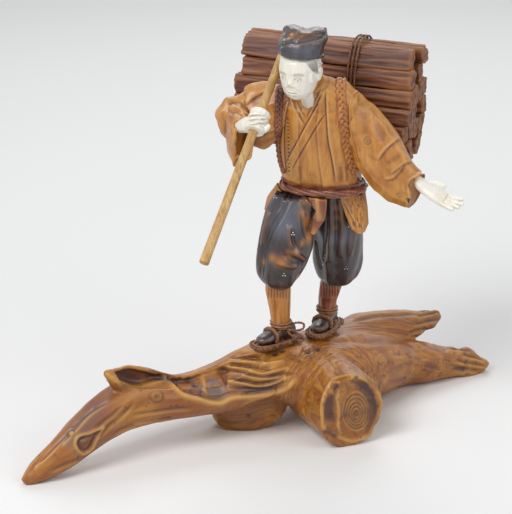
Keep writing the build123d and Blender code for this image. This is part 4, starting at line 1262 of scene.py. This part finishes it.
def twistSash():
    # Rolled cloth round the waist, three strands twisted together
    turn = math.radians(sashTwist["turn"])
    side = np.array((math.cos(turn), -math.sin(turn), 0))
    front = np.array((-math.sin(turn), -math.cos(turn), 0))
    line = []
    for step in range(121):
        c, s, reach = rounded(2 * math.pi * step / 120, sashTwist["power"])
        point = np.array(sashTwist["middle"]) + side * (c * reach * sashTwist["wide"])
        line.append(np.array(fromLayout(*(point + front * (s * reach * sashTwist["deep"])))))
    strands = twistStrands(line, sashTwist["strand"] * 2, 3, sashTwist["lay"], closed=True)
    return layStrands("sashStrands", strands, sashTwist["strand"] * 1.15, 5, closed=True)


def carveSash():
    sheet = startPiece("sash", "twistedSash", 0.35, 4, sashTwist["pulls"], -0.3)
    for path in sashTwist["knot"]:
        chisel(sheet, path, 0.8, 0.9, stain=0.7)
    wear(sheet)
    closeSurface(sheet)
    joinTo(sheet["piece"], twistSash())
    finishPiece(sheet["piece"], sashWood, "sash")
    print("sash twisted")


carveSash()


trouserLines = {
    "cell": 0.56,
    "rightRidges": [
        [(289, 224), (289.5, 241), (293, 249)], [(286, 250), (296, 254), (305, 260)],
        [(302, 194), (307, 202), (311, 208)],
        [(270, 210), (265, 228), (262, 246)], [(276, 262), (288, 266), (298, 266)],
    ],
    "rightCuts": [
        [(291, 188), (286, 199), (281, 209), (274, 221), (267, 233), (262, 249), (261, 264), (261, 277)],
        [(294, 190), (289, 202), (284, 212), (277, 224), (270, 236), (265, 250), (264, 264), (264, 277)],
        [(299, 199), (304, 209), (308, 218)], [(293, 228), (293, 240), (297, 247), (303, 249)],
        [(284, 255), (295, 259), (303, 264)],
        [(300, 214), (303, 226), (306, 238)], [(279, 240), (282, 252), (290, 262)],
    ],
    "leftRidges": [
        [(330, 196), (331, 225), (329, 262)], [(340, 198), (342, 226), (340, 258)],
        [(352, 208), (354, 230), (351, 256)],
    ],
    "leftCuts": [
        [(325, 198), (326, 226), (324, 262)], [(335, 196), (337, 226), (335, 264)],
        [(346, 200), (348, 228), (345, 266)], [(316, 240), (318, 256), (322, 270)],
    ],
    "worn": [
        (303, 214, 3.0), (307, 222, 3.6), (310, 231, 4.0), (312, 226, 2.6), (308, 239, 3.4), (302, 243, 2.2),
        (272, 258, 3.0), (281, 262, 3.6), (288, 256, 2.6), (297, 251, 2.0), (336, 208, 2.0), (337, 218, 2.0),
        (336, 228, 1.8), (287, 190, 2.4), (263, 262, 2.2), (302, 203, 2.2), (298, 276, 1.8),
    ],
    # painted sheen: bluish reflection patches on the black-stained trousers
    "paintedSheen": [(284, 215, 7.0), (291, 226, 6.0), (277, 230, 6.0), (296, 208, 4.5), (345, 240, 6.0), (329, 238, 5.0)],
    "inlays": [
        (275, 197), (283, 228), (293, 234), (284, 275), (298, 276), (320, 205), (320, 216), (350, 226), (352, 235),
        (325, 257), (324, 264), (346, 268),
    ],
    "dot": 0.42,
    "trefoil": [(0, -1.3), (-1.2, 0.8), (1.2, 0.8)],
}


def carveTrousers():
    sheets = []
    for side, seed, rub, patch in (("right", 4.0, 0.25, 0.8), ("left", 9.0, 0.10, 0.45)):
        node = side + "_trouser_leg"
        sheet = startPiece(node, "carved" + side.title() + "Trouser", trouserLines["cell"], 90)
        drape(sheet, 1.0, 7, 30, seed, 0.1, 0.05)
        for path in trouserLines[side + "Ridges"]:
            chisel(sheet, path, 1.6, -1.6, worn=rub)
        for path in trouserLines[side + "Cuts"]:
            chisel(sheet, path, 1.1, 1.2, stain=0.4)
        for px, py, size in trouserLines["worn"]:
            punch(sheet, px, py, size, 0, worn=patch)
        # painted sheen: bluish reflections laid on the trousers with the grey-blue tint
        for px, py, size in trouserLines["paintedSheen"]:
            punch(sheet, px, py, size, 0, smoke=0.6)
        endPiece(sheet, stainedWood, node)
        sheets.append(sheet)
    print("trousers carved")
    return sheets


def setInlays(sheets):
    dots = []
    for px, py in trouserLines["inlays"]:
        for dx, dy in trouserLines["trefoil"]:
            for sheet in sheets:
                places, ways = onSurface(sheet, [(px + dx, py + dy), (px + dx, py + dy)], 1)
                if places:
                    bpy.ops.mesh.primitive_uv_sphere_add(segments=10, ring_count=6, radius=trouserLines["dot"] * mm)
                    dot = bpy.context.object
                    dot.scale = (1, 1, 0.5)
                    dot.rotation_euler = Vector(ways[0]).to_track_quat("Z", "Y").to_euler()
                    dot.location = places[0]
                    dots.append(dot)
                    break
    joinTo(*dots)
    piece = bpy.context.object
    bpy.ops.object.transform_apply(location=True, rotation=True, scale=True)
    piece.name = "trouserInlays"
    finishPiece(piece, silverInlay, None)
    print(len(dots), "inlaid dots set")


def metalInlay():
    material, tree, shader = newMaterial("paleInlay")
    cloud = mottle(tree, addNode(tree, "ShaderNodeTexCoord").outputs["Object"], 900, 2)
    colour = ramp(tree, cloud, [(0.35, (0.62, 0.57, 0.45)), (0.65, (0.86, 0.83, 0.74))])
    tree.links.new(colour, shader.inputs["Base Color"])
    shader.inputs["Metallic"].default_value = 0.55
    shader.inputs["Roughness"].default_value = 0.3
    return material


silverInlay = metalInlay()
setInlays(carveTrousers())


def soleRope(node, name):
    # The braided edge of a straw sandal, laid round its sole
    points = readVertices(cadNodes[node].data, "co")
    middle = (points.min(0) + points.max(0)) / 2
    east, north = points[:, 0] - middle[0], points[:, 1] - middle[1]
    bearing = np.arctan2(north, east)
    reach = np.hypot(north, east)
    line = []
    for step in range(49):
        angle = 2 * math.pi * (step % 48) / 48
        apart = np.abs((bearing - angle + math.pi) % (2 * math.pi) - math.pi)
        near = np.argmax(np.where(apart < 0.22, reach * np.cos(apart), 0))
        out = reach[near] * math.cos(apart[near]) + 0.0001
        line.append(middle + np.array((math.cos(angle) * out, math.sin(angle) * out, 0.0004)))
    return layStrands(name, twistStrands(line, 1.5, 2, 4.2, closed=True), 0.75, 6, closed=True)


tieLoops = {
    "loops": [
        [(287, 328), (292, 324), (298, 322.5), (303.5, 324), (303, 328.5), (296.5, 330.5), (288, 330)],
        [(288, 329), (295, 332.5), (302, 336), (303.5, 340), (298, 340.5), (292, 336), (287.5, 331)],
    ],
    "rope": 0.75,
}


def tieBow():
    # The bow of the sandal cord at the ankle, as deep in the view as the cord's own middle
    low, high = [Vector(corner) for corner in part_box("right_sandal_ties")]
    eye, ahead, _, _ = viewAxes()
    reach = ((low + high) / 2 - eye).dot(ahead) - 0.002
    strands = []
    for loop in tieLoops["loops"]:
        line = []
        for number, (px, py) in enumerate(flowing(loop, 8)):
            start, way = sightLine(px, py)
            line.append(np.array(start + way * (reach + 0.0012 * math.sin(number * 0.25))))
        strands += twistStrands(line, tieLoops["rope"], 2, 3.6)
    return layStrands("tieBow", strands, tieLoops["rope"] * 0.62, 5)


legLines = {
    "gaiter": 0.36,
    "straw": 0.29,
    "right": {"wood": shinWood, "from": 268, "to": 292, "top": 284},
    "left": {"wood": ruddyWood, "from": 318, "to": 340, "top": 283},
}


def carveLegs():
    for side in ("right", "left"):
        look = legLines[side]
        sheet = startPiece(side + "_shin", "carved" + side.title() + "Gaiter", legLines["gaiter"], 4)
        drape(sheet, 0.35, 3, 18, 5.0, 0.25, 0.2)
        for step in range(9):
            px, py = look["from"] + (look["to"] - look["from"]) * step / 8, look["top"]
            chisel(sheet, [(px, py), (px + 0.4, py + 7), (px + 0.2, py + 15)], 0.7, 0.6, stain=0.25)
        endPiece(sheet, look["wood"], side + "_shin", (0.8, 0.4))
        sheet = startPiece(side + "_foot", "carved" + side.title() + "Tabi", legLines["gaiter"], 18)
        endPiece(sheet, stainedWood, side + "_foot", (0.8, 0.2))
        for node, name in (("_sandal", "Sandal"), ("_sandal_ties", "SandalTies")):
            sheet = startPiece(side + node, "straw" + side.title() + name, legLines["straw"], 3)
            wear(sheet, 0.8, 0.5)
            closeSurface(sheet)
            if node == "_sandal":
                joinTo(sheet["piece"], soleRope(side + node, "sandalRope"))
            elif side == "right":
                joinTo(sheet["piece"], tieBow())
            finishPiece(sheet["piece"], straw, side + node)
    print("legs and feet carved")


carveLegs()


hatLines = {
    "cell": 0.4,
    "pulls": [
        (290, 21, 13, 0, 3), (306, 21, 14, 0, 6), (321, 24, 11, 0, 2.5), (280, 31, 12, 4, 0), (331, 50, 14, -4, 0),
        (331, 32, 10, -1.5, 0),
    ],
    "folds": [
        ([(330, 29), (323, 37), (312, 42.5), (300, 44.5), (290, 45.5), (281, 48)], 2.2, 5.5, True),
        ([(330, 33), (320, 33), (310, 35), (301, 38), (296, 43)], 1.3, 3.0, False),
        ([(289, 24), (286, 31), (284, 38), (284, 45)], 1.0, 2.6, False),
        ([(303, 27), (297, 32), (294, 38)], 1.0, 2.4, True),
    ],
    "rubbed": [
        (291, 34.5, 2.6, 1.4, 0.8, 1.6), (301, 38, 2.6, 0.6, 0.28, 1.8), (314, 35, 3.2, 0.4, 0.16, 1.8),
        (287, 29, 3.0, -1.6, 0.2, 1.0),
    ],
    "band": [(277, 55), (290, 59.5), (305, 60), (318, 57), (328, 52)],
}


def carveHat():
    sheet = startPiece("hat", "foldedCap", hatLines["cell"], 6, hatLines["pulls"])
    drape(sheet, 0.9, 12, 9, 21.0, 0.1, 0.0)
    for path, height, reach, flip in hatLines["folds"]:
        foldEdge(sheet, path, height, reach, 0.5, 0.1, flip=flip, sharp=0.8)
    for px, py, size, depth, tone, long in hatLines["rubbed"]:
        punch(sheet, px, py, size, depth, worn=tone, stretch=long, turn=0.3)
    # painted sheen: a low boss on the hat's band carrying a bluish reflection
    punch(sheet, 305, 51, 6.5, -0.5, smoke=0.5, stretch=1.8)
    foldEdge(sheet, hatLines["band"], 0.7, 2.0, 0.6, 0.05)
    endPiece(sheet, stainedWood, "hat")
    print("cap folded")


carveHat()


faceLines = {
    "brow": [(0.09, 0.115), (0.16, 0.145), (0.25, 0.14), (0.33, 0.105)],
    "lid": [(0.105, 0.005), (0.15, 0.04), (0.21, 0.045), (0.28, 0.005)],
    "lash": [(0.105, 0.0), (0.15, -0.015), (0.21, -0.018), (0.28, 0.0)],
    "mouth": [(-0.14, -0.305), (-0.06, -0.295), (0, -0.302), (0.06, -0.295), (0.14, -0.305)],
    "cheek": [(0.10, -0.17), (0.16, -0.22), (0.19, -0.28)],
    "socket": [(0.12, 0.03), (0.2, 0.035), (0.27, 0.02)],
    "ball": [(0.16, 0.008), (0.2, 0.01), (0.235, 0.008)],
    "dents": [  # two close places, then width, depth and stain
        ((0.195, 0.014), (0.2, 0.014), 0.5, 0.1, 1.0),
        ((0.05, -0.155), (0.051, -0.155), 0.45, 0.35, 0.5),
        ((0.075, -0.13), (0.08, -0.13), 0.8, -0.5, 0.0),
    ],
    "ear": [(0.02, -0.13), (0.0, -0.04), (0.03, 0.07), (0.12, 0.13), (0.2, 0.09), (0.19, -0.02), (0.08, -0.15)],
    "innerEar": [(0.07, -0.08), (0.1, 0.0), (0.12, 0.05)],
    "earWay": 1.45,  # how far round the head, in radians
    "hairWay": 1.2,
    "nearEar": [(319, 64.5), (321.5, 63.5), (323.4, 66), (323.4, 70), (322, 74), (320, 77)],  # in the view's frame
    "nearEarHollow": [(319, 66.5), (320.6, 66.5), (321.4, 69.5), (320.4, 73.5)],
    "chin": [(-0.07, -0.385), (0, -0.39), (0.07, -0.385)],
    "cell": 0.31,
    "rubbing": (0.6, 0.08),
}


def carveHead():
    sheet = startPiece("head", "ivoryHead", faceLines["cell"], 7)

    def draw(path, width, depth, way=0.0, **tints):
        chisel(sheet, None, width, depth, line=onFace(sheet, path, way=way), **tints)

    lines = faceLines
    for way in (-1, 1):
        def turned(path):
            return [(u * way, v) for u, v in path]
        draw(turned(lines["socket"]), 1.7, 0.75)
        draw(turned(lines["ball"]), 1.15, -0.75, taper=0)
        draw(turned(lines["brow"]), 0.8, -0.45)
        draw(turned([(u, v + 0.006) for u, v in lines["brow"]]), 0.55, 0.05, stain=0.95)
        draw(turned(lines["lid"]), 0.42, 0.3, stain=1.0, taper=0.1)
        draw(turned(lines["lash"]), 0.24, 0.18, stain=0.35, taper=0.1)
        draw(turned(lines["cheek"]), 0.5, 0.22, stain=0.10)
        for first, second, width, depth, tone in lines["dents"]:
            places, ways = onFace(sheet, turned([first, second]), 1)
            if places:
                dent(sheet, places[0], ways[0], width, depth, stain=tone)
        for step in range(10):
            lean = (-0.16 + 0.036 * step) * way
            tip = (-0.02 + 0.016 * step) * way
            hair = [(lean, 0.36), ((lean + tip) / 2, 0.22), (tip, 0.13 - 0.012 * step)]
            draw(hair, 0.42, -0.14 if step % 2 else 0.1, way * lines["hairWay"], smoke=0.62, taper=0.3)
        draw(turned(lines["ear"]), 0.7, -1.5, way * lines["earWay"], taper=0.05)
        draw(turned(lines["innerEar"]), 0.6, 0.5, way * lines["earWay"], stain=0.35)
    chisel(sheet, lines["nearEar"], 0.55, -1.2, taper=0.1)
    chisel(sheet, lines["nearEarHollow"], 0.5, 0.7, stain=0.4)
    draw(lines["mouth"], 0.3, 0.35, stain=0.6, taper=0.15)
    draw([(u * 0.8, v + 0.03) for u, v in lines["mouth"]], 0.75, -0.4)
    draw([(u * 0.65, v - 0.035) for u, v in lines["mouth"]], 0.8, -0.5)
    draw(lines["chin"], 0.7, 0.3)
    endPiece(sheet, ivory, "head", lines["rubbing"])


carveHead()


handLines = {
    "cell": 0.27,
    "rubbing": (0.6, 0.12),
    "fingers": [
        [(248, 117.5), (256, 115.5), (266, 116)], [(248, 121.5), (257, 119.5), (267, 120.2)],
        [(249, 125.8), (258, 123.8), (267, 124.5)],
    ],
}


def carveHands():
    for side, name, smoothing in (("right", "ivoryFist", 4), ("left", "ivoryOpenHand", 3)):
        sheet = startPiece(side + "_hand", name, handLines["cell"], smoothing)
        for path in handLines["fingers"] if side == "right" else ():
            chisel(sheet, path, 0.5, 1.1, stain=0.22)
            chisel(sheet, [(x, y - 2) for x, y in path], 0.9, -0.5)
        endPiece(sheet, ivory, side + "_hand", handLines["rubbing"])
    print("ivory carved")


carveHands()


stickSplits = {"cell": 0.8, "count": 24, "seed": 3, "relief": 1.3, "rubbing": (1.2, 0.7)}


def bundleWays():
    # Along the bundle and back from it, level
    along, over = math.cos(bundleTurn), math.sin(bundleTurn)
    return np.array((along, -over, 0)), np.array((over, along, 0))


def splitSticks():
    run, back = bundleWays()
    dice = random.Random(stickSplits["seed"])
    for number in range(1, stickSplits["count"] + 1):
        node = "stick_%02d" % number
        sheet = startPiece(node, "splitStick%02d" % number, stickSplits["cell"], 2)
        along = sheet["points"] @ run / mm
        across = sheet["points"] @ back / mm
        rise = sheet["points"][:, 2] / mm
        end = np.abs(sheet["normals"] @ run) > 0.8
        rough = np.array([
            noise.noise(Vector((x / 32, y / 3.4, z / 3.4 + number * 7.3)))
            + 0.35 * noise.noise(Vector((x / 12, y / 1.1, z / 1.1 + number)))
            for x, y, z in zip(along.tolist(), across.tolist(), rise.tolist())
        ])
        ridges = np.clip(np.where(end, 0.5 * rough, rough), -0.7, 0.4) * stickSplits["relief"]
        sheet["points"] += sheet["normals"] * (ridges * mm)[:, None]
        shade = dice.uniform(0, 1)
        sheet["smoke"] += np.where(end, 0.1, max(0, 0.7 - shade * 1.3))
        sheet["stain"] += np.where(end, np.clip(-rough, 0, 1) * 0.8, np.clip(-rough - 0.15, 0, 1))
        sheet["worn"] += np.where(end, 0.2, np.clip(rough - 0.15, 0, 1) * 0.9 * shade)
        endPiece(sheet, firewood, node, stickSplits["rubbing"])
    print("firewood split")


splitSticks()


bundleCord = {
    "middle": (49.8, 45.0, 217.9),  # layout, mm
    "turns": 3,
    "pitch": 2.5,
    "share": 0.125,
    "length": 122.0,
    "thickness": 46.0,
    "height": 72.0,
    "crown": 0.93,
    "power": 2.5,
    "room": 0.3,
    "diameter": 1.2,
}


def windCord():
    look = bundleCord
    run, back = bundleWays()
    stand = look["room"] + look["diameter"] / 2
    line = []
    for step in range(look["turns"] * 32 + 1):
        share = step / 32
        c, s, reach = rounded(2 * math.pi * (share - 0.5), look["power"])
        point = np.array(look["middle"]) + run * (look["share"] * look["length"] + share * look["pitch"])
        point = point + back * (c * reach * (look["thickness"] / 2 + stand))
        point = point + np.array((0, 0, s * reach * (look["height"] / 2 / look["crown"] + stand)))
        line.append(np.array(fromLayout(*point)))
    strands = twistStrands(line, look["diameter"] * 0.55, 2, 2.6)
    piece = layStrands("woundCord", strands, look["diameter"] * 0.33, 2)
    finishPiece(piece, straw, "bundle_cord")


windCord()


def shapeStaff():
    endPiece(startPiece("staff", "loosenedStaff", 0.5, 2), staffWood, "staff", body="staff")


shapeStaff()
for node in ("right_foot_dowel", "left_foot_dowel", "bundle_dowels"):
    cadNodes[node].data.materials.clear()
    cadNodes[node].data.materials.append(staffWood)
print("staff and cord made")


# studio
studio = {
    "floor": (0.80, 0.80, 0.80),
    "seen": (0.93, 0.935, 0.94),
    "key": {"place": (-0.75, -0.85, 1.25), "size": 0.75, "power": 15},
    "fill": {"place": (0.95, -0.65, 0.8), "size": 1.0, "power": 4.5},
    "back": {"place": (0.1, 1.0, 1.1), "size": 0.9, "power": 6},
    "sky": (0.30, 0.30, 0.30),
    "farWall": (0.97, 0.975, 0.98),
    "aim": (0, 0, 0.12),
}


def seenPale(tree, shader, lit, seen):
    # Plain pale to the eye, a matt surface that takes a shadow to the light
    path = addNode(tree, "ShaderNodeLightPath").outputs
    looked = path["Is Camera Ray"]
    for ray in ("Is Glossy Ray", "Is Transmission Ray"):
        looked = addNode(tree, "ShaderNodeMath", {0: looked, 1: path[ray]}, operation="MAXIMUM").outputs[0]
    tree.links.new(blendColour(tree, looked, lit, seen), shader)


def setStudio():
    bpy.ops.object.select_all(action="DESELECT")
    bpy.ops.mesh.primitive_plane_add(size=6, location=(0, 0, 0))
    floor = bpy.context.object
    floor.name = "paleFloor"
    material, tree, shader = newMaterial("palePaper")
    shader.inputs["Roughness"].default_value = 0.9
    seenPale(tree, shader.inputs["Base Color"], studio["floor"], studio["seen"])
    floor.data.materials.append(material)
    for name in ("key", "fill", "back"):
        look = studio[name]
        lamp = bpy.data.lights.new(name + "Lamp", "AREA")
        lamp.size = look["size"]
        lamp.energy = look["power"]
        holder = setOut(name + "Lamp", lamp)
        holder.location = look["place"]
        aim = Vector(studio["aim"]) - Vector(look["place"])
        holder.rotation_euler = aim.to_track_quat("-Z", "Y").to_euler()
    world = bpy.data.worlds.new("paleRoom")
    bpy.context.scene.world = world
    world.use_nodes = True
    tree = world.node_tree
    background = tree.nodes["Background"]
    seenPale(tree, background.inputs["Color"], studio["sky"], studio["farWall"])
    bpy.context.scene.view_settings.view_transform = "Standard"
    print("studio set")


setStudio()
